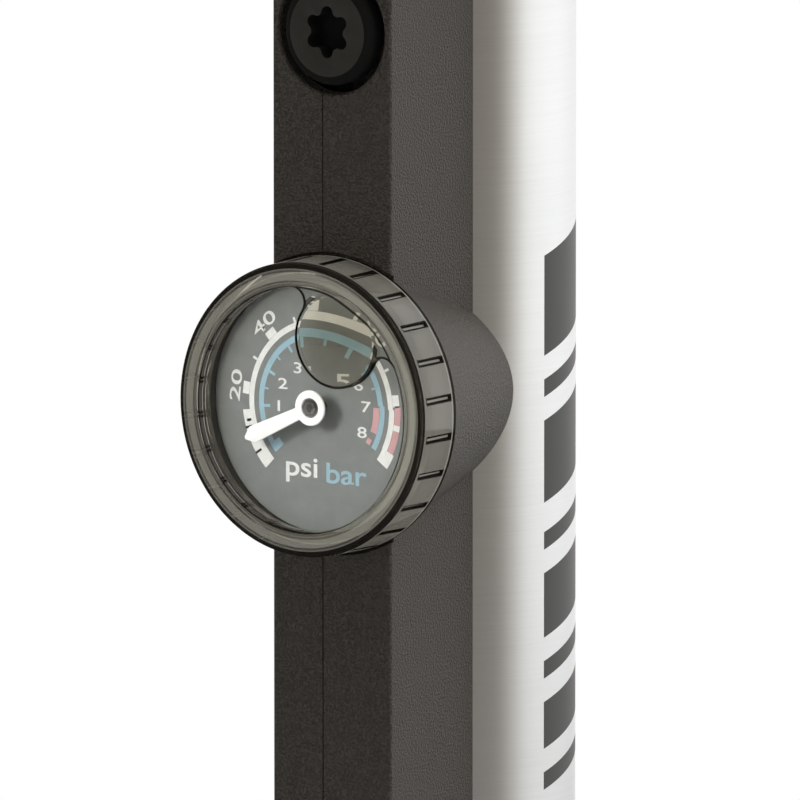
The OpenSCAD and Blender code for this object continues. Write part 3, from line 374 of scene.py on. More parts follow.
def bolt_shadow(f):
    """Mask of the spine bolts' recesses and outer edges."""
    x, y, z = f.parts()
    centre = (z > GAUGE_Z * MM) * ((BOLT_HIGH - BOLT_LOW) * MM) + BOLT_LOW * MM
    from_axis = (x * x + (z - centre) ** 2) ** 0.5
    face = low("spine_bolts").y
    socket = (from_axis < 5 * MM) * y.band((face + 0.12) * MM, (face + 4) * MM)
    return socket + (from_axis > 7.5 * MM) * (y < (2 - SPINE_FACE) * MM)


def metal_finishes():
    for name, tone, metallic, rough in (("steel", (0.58, 0.58, 0.57), 1.0, 0.32),
                                        ("black_steel", (0.013, 0.012, 0.010), 0.0, 0.42),
                                        ("chromed_rod", (0.86, 0.87, 0.88), 1.0, 0.09),
                                        ("brass", (0.62, 0.45, 0.20), 1.0, 0.30),
                                        ("bronze", (0.50, 0.28, 0.13), 1.0, 0.30),
                                        ("grey_plate", (0.36, 0.365, 0.36), 1.0, 0.42)):
        f = kept(name, tone, rough, metallic)
        tint = f.ramp(f.noise(240, 4, 0.6), (0.3, shade(tone, 0.85)), (0.7, shade(tone, 1.12)))
        gloss = f.noise(60, 3) * 0.18 + (rough - 0.08)
        if name == "black_steel":
            shadow = bolt_shadow(f)
            tint = f.blend(shadow, tint, (0.001, 0.001, 0.001))
            gloss = shadow * 0.5 + rough
        f.set("Base Color", tint)
        f.set("Roughness", gloss)
        f.relief(f.noise(1800, 2), 0.000008, 0.00018)


def rubber_finishes(colours):
    for name, tone, grain, depth, rough in (("black_rubber", shade(colours.rubber, 0.8), 900, 0.00005, 0.72),
                                            ("grip_rubber", colours.rubber, 1500, 0.00007, 0.68)):
        f = kept(name, tone, rough, IOR=1.52)
        dust = f.noise(30, 4, 0.65)
        f.set("Base Color", f.ramp(dust, (0.35, shade(tone, 0.8)), (0.75, shade(tone, 1.5))))
        f.set("Roughness", dust * 0.2 + (rough - 0.1))
        f.relief(f.noise(grain, 3, 0.7), depth, 0.0003)


def plastic_finishes():
    for name, tone, rough in (("clear_nylon", (0.72, 0.71, 0.66), 0.38),
                              ("pale_plastic", (0.60, 0.58, 0.51), 0.42),
                              ("piston_plastic", (0.060, 0.060, 0.057), 0.40),
                              ("dark_surround", (0.055, 0.050, 0.042), 0.48),
                              ("white_enamel", (0.95, 0.955, 0.945), 0.28)):
        f = kept(name, tone, rough, IOR=1.5)
        f.set("Base Color", f.ramp(f.noise(160, 3), (0.3, shade(tone, 0.94)), (0.7, shade(tone, 1.04))))
        f.set("Roughness", f.noise(70, 2) * 0.1 + (rough - 0.05))
        f.relief(f.noise(900, 2), 0.00001, 0.00012)


def dial_finishes(colours):
    f = kept("dial_face", roughness=0.5, IOR=1.5)
    dull, bright = shade(colours.dial, 0.93), shade(colours.dial, 1.07)
    f.set("Base Color", f.ramp(f.noise(420, 4, 0.6), (0.3, dull), (0.7, bright)))
    f.relief(f.noise(2600, 2), 0.000006)
    for name, tone in (("print_white", colours.print_white), ("print_blue", colours.print_blue),
                       ("print_red", colours.print_red), ("print_black", (0.03, 0.03, 0.03))):
        f = kept(name, tone, 0.45, IOR=1.5)
        f.set("Base Color", f.ramp(f.noise(900, 3), (0.3, shade(tone, 0.93)), (0.7, shade(tone, 1.05))))
        f.relief(f.noise(3000, 2), 0.000004)


def cover_finish(sizes):
    """Smoke-tinted clear plastic with painted shade and painted highlights: dark lines painted along its
    edges, notches, lens land and window, and its ring and wall hazy with painted highlight bands.
    """
    f = kept("smoke_cover", (1, 1, 1), 0.02, IOR=1.49, Transmission_Weight=1.0)
    f.relief(f.noise(70, 3), 0.000004)
    x, y, z = f.parts()
    up = z - GAUGE_Z * MM
    out = (x * x + up * up) ** 0.5 / MM
    ahead = y * -1 / MM
    window_r = ring_inner(sizes)
    on_front = ahead > COVER_FRONT - 0.3

    wall_r, notch_half, notch_reach, core_half, core_reach = 24.15, 0.66, 3.6, 0.2, 3.15
    wall = (out > wall_r) * (ahead < COVER_FRONT - 0.7)
    pitch = f.turn(up, x) * (sizes.notches / math.tau)
    across = abs(pitch.math("FRACT") - 0.5) * (math.tau * COVER_R / sizes.notches)
    along = abs(ahead - (COVER_BACK + COVER_FRONT) / 2)
    notch = wall * (across < notch_half) * (along < notch_reach)
    # Painted shade and highlight: each notch gets a painted dark outline, and its middle carries a painted
    # highlight.
    painted_notch_highlight = (across < core_half) * (along < core_reach)

    def reach(centre):
        return ((x - centre[0] * MM) ** 2 + (up - centre[1] * MM) ** 2) ** 0.5 / MM

    lens, bearings, fillets = land_layout(sizes)
    land_r, fillet_r = (sizes.lens_radius + sizes.lens_land) / MM, sizes.land_fillet / MM
    to_lens = reach(lens)
    # Painted shade: dark lines painted round the lens land and along the window's edge, where the step walls
    # refract dark.
    painted_rim_shade = to_lens.band(land_r - 0.45, land_r + 0.4) * (out < window_r - 1.3)
    for fillet in fillets:
        painted_rim_shade = painted_rim_shade.most((reach(fillet) < fillet_r + 0.4) * (out < window_r + 0.1))
    painted_rim_shade = painted_rim_shade.most(out.band(window_r - 0.2, window_r + 0.15)) * (ahead > COVER_FRONT - 1.1)
    # Painted shade: a dark band painted over the front rounding, where it refracts dark.
    round_starts, fade = 23.45, 0.4
    painted_front_edge_shade = ((out - round_starts) / fade).clamped() * (ahead > COVER_FRONT - 0.72)
    # Painted shadow: a black band painted on the rear of the wall, standing for the shadowed gap between the
    # cover and the housing.
    painted_rear_shadow = wall * (ahead < COVER_BACK + 1.0)
    # Painted shade: a thin dark line painted just outside the window's edge.
    painted_inner_shade = out.band(window_r + 0.55, window_r + 0.8) * on_front
    # black gathers all the painted shade lines; the clear plastic itself has no black edges.
    black = painted_front_edge_shade.most(painted_rear_shadow).most(notch * (1 - painted_notch_highlight)).most(painted_rim_shade).most(painted_inner_shade * 0.6)

    cloud = f.noise(55, 3) * 0.10
    # Painted highlight: a pale strip painted on the ring's front just outside the window.
    painted_highlight_strip = out.band(window_r + 1.1, window_r + 2.5) * on_front
    # Haze on the ring, with the painted highlight strip added in.
    ring_haze_and_highlight = (out > window_r + 0.05) * (cloud + 0.04) + painted_highlight_strip * 0.2
    # Painted highlight: a thin pale band painted near the rear of the wall.
    painted_rear_highlight = ahead.band(COVER_BACK + 1.0, COVER_BACK + 1.4) * 0.3
    haze_and_painted_light_mix = ring_haze_and_highlight + wall * (cloud + 0.16 + painted_rear_highlight) + notch * painted_notch_highlight * 0.3
    # Diffuse layer mixed over the clear plastic: a pale haze, turned near black under the painted shade
    # lines, and mixed in more strongly where the painted highlights are.
    hazy_painted_layer = f.node("ShaderNodeBsdfPrincipled", {}, Roughness=0.35, Specular_IOR_Level=0.0,
                  Base_Color=f.blend(black, (0.40, 0.385, 0.33), (0.006, 0.005, 0.004)))
    untinted = (to_lens < land_r).most(out > window_r)
    f.set("Base Color", f.blend(untinted, (1, 1, 1), (0.78, 0.755, 0.69)))
    veiled = f.node("ShaderNodeMixShader", {}, haze_and_painted_light_mix.most(black * 0.86), f.surface, hazy_painted_layer)
    clear = f.node("ShaderNodeBsdfTransparent", {}, Color=(1, 1, 0.98))
    looks = f.node("ShaderNodeMixShader", {}, f.ray("Is Shadow Ray"), veiled, clear)
    f.wire(f.output.inputs["Surface"], looks)
    murk = f.node("ShaderNodeVolumeAbsorption", {}, Color=(0.80, 0.785, 0.76), Density=380)
    f.wire(f.output.inputs["Volume"], murk)


def make_finishes(scene):
    """All materials of the pump, filed by the name of their slot."""
    moulding_finishes(scene.pump_colours)
    barrel_finish(scene.pump_colours)
    metal_finishes()
    rubber_finishes(scene.pump_colours)
    plastic_finishes()
    dial_finishes(scene.pump_colours)
    cover_finish(scene.pump_cover)


# ---------- Modelling helpers ----------

def object_mode():
    if bpy.context.object and bpy.context.object.mode != "OBJECT":
        bpy.ops.object.mode_set(mode="OBJECT")


def deselect():
    object_mode()
    bpy.ops.object.select_all(action="DESELECT")


def only(piece):
    deselect()
    piece.select_set(True)
    bpy.context.view_layer.objects.active = piece
    return piece


def settle(piece, place=None):
    """Puts a piece at its place, and its place in its mesh."""
    object_mode()
    if place is not None:
        piece.matrix_world = place @ piece.matrix_world
    only(piece)
    bpy.ops.object.transform_apply(location=True, rotation=True, scale=True)
    return piece


def path(points):
    """Open chain of edges through points in millimetres. It is left in edit mode, all selected."""
    deselect()
    bpy.ops.mesh.primitive_plane_add(size=MM)
    piece = bpy.context.object
    bpy.ops.object.mode_set(mode="EDIT")
    bpy.ops.mesh.merge(type="CENTER")
    here = Vector(points[0])
    bpy.ops.transform.translate(value=here * MM)
    for point in points[1:]:
        there = Vector(point)
        bpy.ops.mesh.extrude_region_move(TRANSFORM_OT_translate={"value": (there - here) * MM})
        here = there
    bpy.ops.mesh.select_all(action="SELECT")
    return piece


def arc(centre, radius, start, end, steps):
    """Points along an arc, angles in degrees."""
    spokes = [polar(radius, start + (end - start) * i / steps) for i in range(steps + 1)]
    return [(centre[0] + x, centre[1] + y) for x, y in spokes]


def close_up():
    """Selects the whole mesh in edit mode, turns its faces outward and leaves edit mode."""
    bpy.ops.mesh.select_all(action="SELECT")
    bpy.ops.mesh.normals_make_consistent(inside=False)
    bpy.ops.object.mode_set(mode="OBJECT")


def turned(points, steps=96, closed=True):
    """Turns a section of (radius, height) points round the Z axis. A closed section makes a ring."""
    section = [(r, 0, z) for r, z in points]
    if closed:
        section.append(section[0])
    piece = path(section)
    bpy.ops.mesh.spin(steps=steps, angle=math.tau, center=(0, 0, 0), axis=(0, 0, 1))
    bpy.ops.mesh.select_all(action="SELECT")
    bpy.ops.mesh.remove_doubles(threshold=0.000002)
    close_up()
    return piece


def slab(points, height, base):
    """Closed outline in millimetres raised to a solid."""
    piece = path([(x, y, base) for x, y in points] + [(*points[0], base)])
    bpy.ops.mesh.remove_doubles(threshold=0.000002)
    bpy.ops.mesh.edge_face_add()
    bpy.ops.mesh.extrude_region_move(TRANSFORM_OT_translate={"value": (0, 0, height * MM)})
    close_up()
    return piece


def combine(piece, tool, operation):
    """Exact union or difference of two closed pieces."""
    only(piece)
    boolean = piece.modifiers.new("combine", "BOOLEAN")
    boolean.operation = operation
    boolean.solver = "EXACT"
    boolean.object = tool
    bpy.ops.object.modifier_apply(modifier="combine")
    bpy.data.objects.remove(tool)
    return piece


def round_edges(piece, width, segments=2, angle=35):
    only(piece)
    bevel = piece.modifiers.new("edges", "BEVEL")
    bevel.width = width * MM
    bevel.segments = segments
    bevel.limit_method = "ANGLE"
    bevel.angle_limit = math.radians(angle)
    bpy.ops.object.modifier_apply(modifier="edges")
    return piece


def copy_of(piece, place):
    only(piece)
    bpy.ops.object.duplicate()
    return settle(bpy.context.object, place)


def joined(first, *others):
    only(first)
    for other in others:
        other.select_set(True)
    bpy.ops.object.join()
    return first


def finished(piece, name, finish, body, *nodes, smooth=30):
    """Names a piece, gives it its finish and body, and hides the CAD nodes that it stands for."""
    only(piece)
    piece.name = name
    piece.data.materials.clear()
    piece.data.materials.append(FINISHES[finish])
    if smooth:
        bpy.ops.object.shade_smooth_by_angle(angle=math.radians(smooth))
    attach(piece, body)
    if nodes:
        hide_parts(*nodes)
    finish in SLOTS
    return piece


# ---------- Stage ----------

def lay_floor():
    """Matt floor that fades to white around the pump and looks darker in reflections."""
    deselect()
    bpy.ops.mesh.primitive_circle_add(vertices=96, radius=1.6, fill_type="NGON")
    floor = bpy.context.object
    floor.name = "studio_floor"
    f = Finish("studio_floor")
    x, y, z = f.parts()
    away = (x * x + y * y) ** 0.5
    f.set("Base Color", f.blend(f.ray("Is Glossy Ray"), (0.80, 0.80, 0.79), (0.30, 0.30, 0.29)))
    f.set("Roughness", f.noise(40, 3) * 0.1 + 0.65)
    f.relief(f.noise(300, 3), 0.00002)
    fade = f.ray("Is Camera Ray") * ((away - 0.35) / 0.9).clamped()
    looks = f.node("ShaderNodeMixShader", {}, fade, f.surface, f.node("ShaderNodeEmission", {}))
    f.wire(f.output.inputs["Surface"], looks)
    floor.data.materials.append(f.material)


def light_world(scene):
    """White to the camera. Reflections see it bright behind the pump, and dark and warm in front."""
    world = bpy.data.worlds.new("studio")
    world.use_nodes = True
    scene.world = world
    w = Tree(world.node_tree, "Generated")
    x, y, z = w.parts()
    aim = math.radians(10)
    ahead = x * math.sin(aim) + y * -math.cos(aim)
    bright_side = ((0.48 - ahead) / 0.52).clamped()
    left_flag = ((x * -1 - 0.5) / 0.25).clamped() * (y < 0.5)
    dark_level = ((x + 0.2) / 0.8).clamped() * 0.17 + 0.05
    behind = ((ahead * -1) - 0.74).most(0.0)
    backdrop = bright_side * (1.2 - behind * 0.5) * (1 - left_flag * 0.8) + dark_level
    direct = w.ray("Is Camera Ray")
    through = w.ray("Is Transmission Ray")
    mirrored = w.ray("Is Glossy Ray").most(through) * (w.ray("Diffuse Depth") < 0.5)
    ambient = through * 1.75 + 0.62
    strength = direct + (1 - direct) * (mirrored * backdrop + (1 - mirrored) * ambient)
    warm = (1 - bright_side) * mirrored * (1 - direct)
    tint = w.blend(warm, (1, 1, 1), (1, 0.88, 0.74))
    sky = w.node("ShaderNodeBackground", {}, Strength=strength, Color=tint)
    w.wire(w.tree.nodes.new("ShaderNodeOutputWorld").inputs["Surface"], sky)


def hang_lamps(scene):
    """Two soft boxes aimed at the gauge, placed by compass and height angles in degrees."""
    aim_at = Vector((0, 0, GAUGE_Z * MM))
    for name, around, above, far, size, watts in (("key_box", -20, 20, 0.9, 0.26, 6.1),
                                                  ("side_box", 128, 24, 1.3, 0.9, 7.6)):
        around, above = math.radians(around), math.radians(above)
        level = math.cos(above)
        spot = aim_at + far * Vector((math.sin(around) * level, -math.cos(around) * level, math.sin(above)))
        lamp = bpy.data.lights.new(name, "AREA")
        lamp.shape = "SQUARE"
        lamp.size = size
        lamp.energy = watts
        holder = bpy.data.objects.new(name, lamp)
        scene.collection.objects.link(holder)
        holder.location = spot
        holder.visible_glossy = False
        holder.visible_transmission = False
        holder.rotation_euler = (aim_at - spot).to_track_quat("-Z", "Y").to_euler()


def set_camera(scene):
    """Long lens from the front right, a little above the gauge."""
    turn, lift, far = math.radians(34.5), math.radians(8.5), 3.0
    aside, above = 11.45 * MM, 0.6 * MM
    right = Vector((math.cos(turn), math.sin(turn), 0))
    up = Vector((-math.sin(turn) * math.sin(lift), math.cos(turn) * math.sin(lift), math.cos(lift)))
    back = right.cross(up)
    middle = Vector((0, -SPINE_FACE * MM, GAUGE_Z * MM)) + right * aside + up * above
    lens = bpy.data.cameras.new("camera")
    lens.lens = 808.0
    lens.sensor_width = 36
    lens.clip_end = 60
    camera = bpy.data.objects.new("camera", lens)
    scene.collection.objects.link(camera)
    camera.matrix_world = Matrix((
        (right.x, up.x, back.x, 0), (right.y, up.y, back.y, 0), (right.z, up.z, back.z, 0), (0, 0, 0, 1)))
    camera.location = middle + back * far
    scene.camera = camera
    scene.view_settings.view_transform = "Standard"


# ---------- Operators ----------

class PUMP_OT_stage(bpy.types.Operator):
    """Floor, lamps, world and camera"""
    bl_idname = "pump.stage"
    bl_label = "Stage"

    def execute(self, context):
        lay_floor()
        light_world(context.scene)
        hang_lamps(context.scene)
        set_camera(context.scene)
        return {"FINISHED"}


class PUMP_OT_barrel(bpy.types.Operator):
    """Brushed barrel tube and its slotted rail"""
    bl_idname = "pump.barrel"
    bl_label = "Barrel"

    def execute(self, context):
        wall, edge, rows = 1.8, 0.3, 12
        r, bore, a, b = BARREL_R, BARREL_R - wall, BARREL_LOW, BARREL_TOP
        outside = [(r, a + edge + (b - a - 2 * edge) * i / rows) for i in range(rows + 1)]
        tube = turned([(bore, a), (r - edge, a)] + outside + [(r - edge, b), (bore, b)], 160)
        finished(tube, "barrel_tube", "brushed_barrel", "pump_body", "barrel")
        front, back = -RAIL_FRONT, -17.6
        half, slot, mouth, lip, floor = 8, 5.5, 4.3, 1.5, 5.2
        side = [(half, back), (half, front), (mouth, front), (mouth, front + lip), (slot, front + lip),
                (slot, front + floor)]
        rail = slab([(-x, y) for x, y in side] + side[::-1], b - a, a)
        finished(rail, "barrel_rail", "brushed_barrel", "pump_body")
        return {"FINISHED"}


class PUMP_OT_spine(bpy.types.Operator):
    """Textured spine with the gauge housing"""
    bl_idname = "pump.spine"
    bl_label = "Spine and housing"

    def execute(self, context):
        face, a, b = SPINE_FACE, low("spine").z, high("spine").z
        half, edge, wall, skin = 12, 0.55, 2.4, 10.0
        past, front = 2, face + 5
        corner = arc((half - edge, edge - face), edge, 0, -90, 6)
        side = [(half, -skin)] + corner
        block = slab(side + [(-x, y) for x, y in reversed(side)], b - a, a)

        tail, rim = HOUSING_TAIL_R, HOUSING_RIM_R
        back = face - HOUSING_DEPTH
        cone = turned([(0, back), (tail, back), (rim - 0.05, RIM - 0.5), (rim - 0.2, RIM - 0.12),
                       (rim - 0.45, RIM), (0, RIM)], 192, closed=False)
        combine(block, settle(cone, ON_GAUGE), "UNION")
        recess = COVER_R + 0.5
        relief = turned([(0, RIM), (recess, RIM), (recess, front), (0, front)], 192, closed=False)
        combine(block, settle(relief, ON_GAUGE), "DIFFERENCE")

        inside = half - wall
        channel = slab([(-inside, wall - face), (inside, wall - face), (inside, 5), (-inside, 5)],
                       b - a + 2 * past, a - past)
        housing = turned([(0, 8), (rim, 8), (rim, RIM + 5), (0, RIM + 5)], 96, closed=False)
        combine(channel, settle(housing, ON_GAUGE), "DIFFERENCE")
        combine(block, channel, "DIFFERENCE")
        room, long = BARREL_R + 0.05, b - a + 2 * past
        bore = turned([(0, 0), (room, 0), (room, long), (0, long)], 128, closed=False)
        combine(block, settle(bore, moved(0, 0, a - past)), "DIFFERENCE")
        pocket, floor = 18.8, 27
        cavity = turned([(0, floor), (pocket, floor), (pocket, front), (0, front)], 128, closed=False)
        combine(block, settle(cavity, ON_GAUGE), "DIFFERENCE")

        shank, floor = 4.2, face - SEAT_DEPTH
        for z in (BOLT_LOW, BOLT_HIGH):
            seat = turned([(0, 20), (shank, 20), (shank, floor), (SEAT_R - 0.3, floor), (SEAT_R, floor + 0.3),
                           (SEAT_R, face - 0.3), (SEAT_R + 0.35, face + 0.05), (SEAT_R + 0.35, face + past),
                           (0, face + past)], 96, closed=False)
            combine(block, settle(seat, forward_at(z)), "DIFFERENCE")
        seam, groove, depth = -1.75, 0.11, 0.28
        line = slab([(seam - groove, -face - 1), (seam + groove, -face - 1), (seam + groove, depth - face),
                     (seam - groove, depth - face)], b - a + 2 * past, a - past)
        combine(block, line, "DIFFERENCE")
        finished(block, "spine_moulding", "textured_moulding", "pump_body", "spine")
        return {"FINISHED"}


def six_lobes():
    """Outline of the bolts' six-lobe recess."""
    tip_out, tip_r, hollow_out, hollow_r = 3.26, 1.14, 4.7, 1.5
    outline = []
    for turn in range(0, 360, 60):
        outline += arc(polar(tip_out, turn), tip_r, turn - 62, turn + 62, 6)
        between = turn + 30
        outline += arc(polar(hollow_out, between), hollow_r, between + 210, between + 150, 4)[1:-1]
    return outline


class PUMP_OT_bolts(bpy.types.Operator):
    """Domed six-lobe bolts in the spine"""
    bl_idname = "pump.bolts"
    bl_label = "Spine bolts"

    def execute(self, context):
        seat, r, edge, shank, socket_depth = SPINE_FACE - SEAT_DEPTH, BOLT_R, 1.5, 4, 3.2
        front = -low("spine_bolts").y
        tail = RAIL_FRONT - 4.5
        crown = [(0, front), (r - edge - 1.5, front)] + arc((r - edge, front - edge), edge, 86, 4, 10)
        head = turned(crown + [(r, seat + 0.3), (r - 0.3, seat), (shank, seat), (shank, tail), (0, tail)],
                      96, closed=False)
        socket = slab(six_lobes(), 6, front - socket_depth)
        combine(head, settle(socket, rotated(30)), "DIFFERENCE")
        round_edges(head, 0.12, 2, 50)
        second = copy_of(head, forward_at(BOLT_LOW))
        settle(head, forward_at(BOLT_HIGH))
        finished(joined(head, second), "bolt_heads", "black_steel", "pump_body", "spine_bolts")
        return {"FINISHED"}


def ring_inner(sizes):
    """Inner radius of the cover's front ring, which is the window's radius."""
    return COVER_R - COVER_DRAFT - sizes.ring_width / MM


def land_layout(sizes):
    """Middle of the lens, and the bearings and middles of the fillets that run its land into the ring."""
    out, aim = sizes.lens_out / MM, math.degrees(sizes.lens_angle)
    fillet = sizes.land_fillet / MM
    reach = ring_inner(sizes) - fillet
    span = (sizes.lens_radius + sizes.lens_land) / MM + fillet
    swing = math.degrees(math.acos((reach ** 2 + out ** 2 - span ** 2) / (2 * reach * out)))
    bearings = (aim - swing, aim + swing)
    return polar(out, aim), bearings, [polar(reach, bearing) for bearing in bearings]


def land_outline(sizes):
    """Outline of the raised land round the lens: its arc, its two fillets and a back edge inside the ring."""
    lens, bearings, middles = land_layout(sizes)
    fillet = sizes.land_fillet / MM
    land = (sizes.lens_radius + sizes.lens_land) / MM
    gaps, touches = [], []
    for bearing, middle in zip(bearings, middles):
        toward = math.degrees(math.atan2(lens[1] - middle[1], lens[0] - middle[0]))
        gaps.append((toward - bearing + 180) % 360 - 180)
        touches.append(math.degrees(math.atan2(middle[1] - lens[1], middle[0] - lens[0])))
    start, end = touches
    while end > start:
        end -= 360
    points = arc(middles[0], fillet, bearings[0], bearings[0] + gaps[0], 14)
    points += arc(lens, land, start, end, 48)[1:-1]
    points += arc(middles[1], fillet, bearings[1] + gaps[1], bearings[1], 14)
    points += arc((0, 0), ring_inner(sizes) + 1.6, bearings[1], bearings[0], 40)
    return points


def notch_tool(sizes, out, middle):
    """All the grip notches' cutters as one piece, sunk from a radius and centred on a level."""
    depth, height = 0.4, 2
    tool = None
    for i in range(sizes.notches):
        deselect()
        bpy.ops.mesh.primitive_cube_add(size=1, location=(0, 0, 0))
        notch = bpy.context.object
        notch.scale = (height * MM, sizes.notch_width, sizes.notch_length)
        settle(notch)
        round_edges(notch, 0.25, 3)
        settle(notch, rotated(360 * (i + 0.5) / sizes.notches) @ moved(out - depth + height / 2, 0, middle))
        tool = notch if tool is None else joined(tool, notch)
    return tool


class PUMP_OT_cover(bpy.types.Operator):
    """Turning smoke cover with its sunk window, lens and grip notches"""
    bl_idname = "pump.cover"
    bl_label = "Gauge cover"

    def execute(self, context):
        sizes = context.scene.pump_cover
        r0, r1 = COVER_R - COVER_DRAFT, COVER_R
        back, front = COVER_BACK, COVER_FRONT
        ring = ring_inner(sizes)
        window = front - sizes.window_sink / MM
        under = window - sizes.window_thick / MM
        inner, shoulder, groove = 22.9, 44.5, 0.45
        soft, crisp = sizes.front_round / MM, 0.22
        lean = math.degrees(math.atan2(r1 - r0, front - back))
        section = [(0, under), (ring - 0.15, under), (ring, under - 0.15), (ring, shoulder),
                   (inner - 0.2, shoulder), (inner, shoulder - 0.2), (inner, back + 1.5),
                   (inner - groove, back + 1.3), (inner - groove, back + 0.75), (inner, back + 0.5),
                   (inner, back + 0.25), (inner + 0.25, back), (r1 - 0.4, back), (r1 - 0.1, back + 0.15),
                   (r1, back + 0.45)]
        section += arc((r0 - soft + 0.02, front - soft), soft, lean, 90, 8)
        section += arc((ring + crisp, front - crisp), crisp, 90, 180, 4) + [(ring, window), (0, window)]
        cover = turned(section, 192, closed=False)
        bite = 0.3
        land = slab(land_outline(sizes), front - window + bite, window - bite)
        combine(cover, land, "UNION")

        lens_r, rise = sizes.lens_radius / MM, sizes.lens_rise / MM
        ball = (lens_r ** 2 + rise ** 2) / (2 * rise)
        radii = [lens_r * i / 24 for i in range(25)]
        dome = [(r, front + rise - ball + math.sqrt(ball ** 2 - r ** 2)) for r in radii]
        cap = turned(dome + [(lens_r, front - bite), (0, front - bite)], 96, closed=False)
        lens = land_layout(sizes)[0]
        combine(cover, settle(cap, moved(*lens, 0)), "UNION")
        combine(cover, notch_tool(sizes, r0 + COVER_DRAFT / 2, (back + front) / 2), "DIFFERENCE")
        settle(cover, ON_GAUGE)
        finished(cover, "gauge_cover", "smoke_cover", "bezel", "bezel", smooth=28)
        return {"FINISHED"}


def band(r_in, r_out, start, end, level=0.03):
    """Flat band of print between two radii and two angles in degrees."""
    start, end = min(start, end), max(start, end)
    steps = max(2, int((end - start) / 2))
    piece = path([(r_in, 0, level), (r_out, 0, level)])
    bpy.ops.mesh.spin(steps=steps, angle=math.radians(start - end), center=(0, 0, 0), axis=(0, 0, 1))
    close_up()
    return settle(piece, rotated(start))


def mark(radius, angle, long, wide, level=0.03):
    """Straight mark whose middle lies at a radius and an angle."""
    deselect()
    bpy.ops.mesh.primitive_plane_add(size=1)
    piece = bpy.context.object
    piece.scale = (long * MM, wide * MM, 1)
    settle(piece)
    return settle(piece, rotated(angle) @ moved(radius, 0, level))


def lettering(words, height, at, turn=0.0, wide=1.2, bold=0.0):
    """Flat words whose middle lies at a point in millimetres."""
    deselect()
    bpy.ops.object.text_add()
    piece = bpy.context.object
    piece.data.body = words
    piece.data.size = height / 0.7 * MM
    piece.data.offset = bold * MM
    piece.data.align_x = "CENTER"
    piece.data.align_y = "CENTER"
    piece.scale = (wide, 1, 1)
    bpy.ops.object.convert(target="MESH")
    piece = bpy.context.object
    settle(piece)
    xs = [v.co.x for v in piece.data.vertices]
    ys = [v.co.y for v in piece.data.vertices]
    settle(piece, Matrix.Translation((-(min(xs) + max(xs)) / 2, -(min(ys) + max(ys)) / 2, 0)))
    return settle(piece, moved(*at, 0.05) @ rotated(turn))


def white_print(zero, ten, bar):
    """White scale with its marks, the numbers of both scales, and the outer unit."""
    big_mark_r, small_mark_r, outer_number_r = 15.28, 15.08, 17.45
    inner_number_across, inner_number_up, inner_number_down = 8.9, 7.3, 8.8
    marks = [band(13.6, 14.6, 187, 2), band(13.6, 16.0, 225.5, 187), band(13.9, 16.4, -26, -35.5),
             band(14.9, 16.15, -7.6, -11.4), band(13.8, 14.85, 2, -26)]
    for i in range(1, 11):
        turn = zero - ten * i
        marks.append(mark(big_mark_r, turn, 1.3, 2.1) if i % 2 == 0 else mark(small_mark_r, turn, 0.9, 0.45))
    for i in range(2, 9, 2):
        turn = zero - ten * i
        marks.append(lettering(str(i * 10), 2.1, polar(outer_number_r, turn), turn - 90, 1.85, 0.03))
    for i in range(1, 9):
        turn = zero - bar * i
        across = polar(inner_number_across, turn)[0] + 0.3
        up = polar(inner_number_up if 0 < turn < 180 else inner_number_down, turn)[1]
        marks.append(lettering(str(i), 1.8, (across, up), 0, 1.6, 0.03))
    marks.append(lettering("psi", 3.4, (-3.9, -11.2), 0, 1.3, 0.06))
    return marks


def blue_print(zero, bar):
    """Blue scale with its whole and half marks, and the inner unit."""
    marks = [band(11.6, 12.6, 214.9, 4.5), band(10.4, 12.6, 223, 215)]
    for i in range(2, 18):
        turn = zero - bar * i / 2
        if turn < 5:
            break
        marks.append(mark(10.97, turn, 1.2, 0.5) if i % 2 == 0 else mark(11.22, turn, 0.7, 0.35))
    return marks + [band(11.9, 12.9, 4.5, -31), lettering("bar", 3.4, (5.2, -11.2), 0, 1.3, 0.06)]


class PUMP_OT_dial(bpy.types.Operator):
    """Dial plate with its two printed scales"""
    bl_idname = "pump.dial"
    bl_label = "Dial and print"

    def execute(self, context):
        sizes = context.scene.pump_print
        zero, ten, bar = (math.degrees(v) for v in (sizes.zero_angle, sizes.step_angle, sizes.bar_angle))
        plate = turned([(1.25, -0.6), (21.3, -0.6), (21.55, -0.45), (21.55, -0.1), (21.45, 0), (1.2, 0)], 128)
        on_dial = ON_GAUGE @ moved(0, 0, DIAL_FACE)
        finished(settle(plate, on_dial), "dial_plate", "dial_face", "pump_body", "dial")

        white = white_print(zero, ten, bar)
        black = [mark(15.4, zero, 1.4, 0.4, 0.05), mark(15.4, 198, 1.4, 0.4, 0.05)]
        blue = blue_print(zero, bar)
        red = [band(10.6, 11.85, 3, -19), band(14.95, 16.15, 4.5, -7.5), band(14.95, 16.15, -11.5, -26),
               mark(11.0, -28, 0.9, 1.0, 0.05)]
        for name, marks in (("white", white), ("black", black), ("blue", blue), ("red", red)):
            sheet = settle(joined(*marks), on_dial)
            finished(sheet, "dial_print_" + name, "print_" + name, "pump_body", smooth=0)
        return {"FINISHED"}


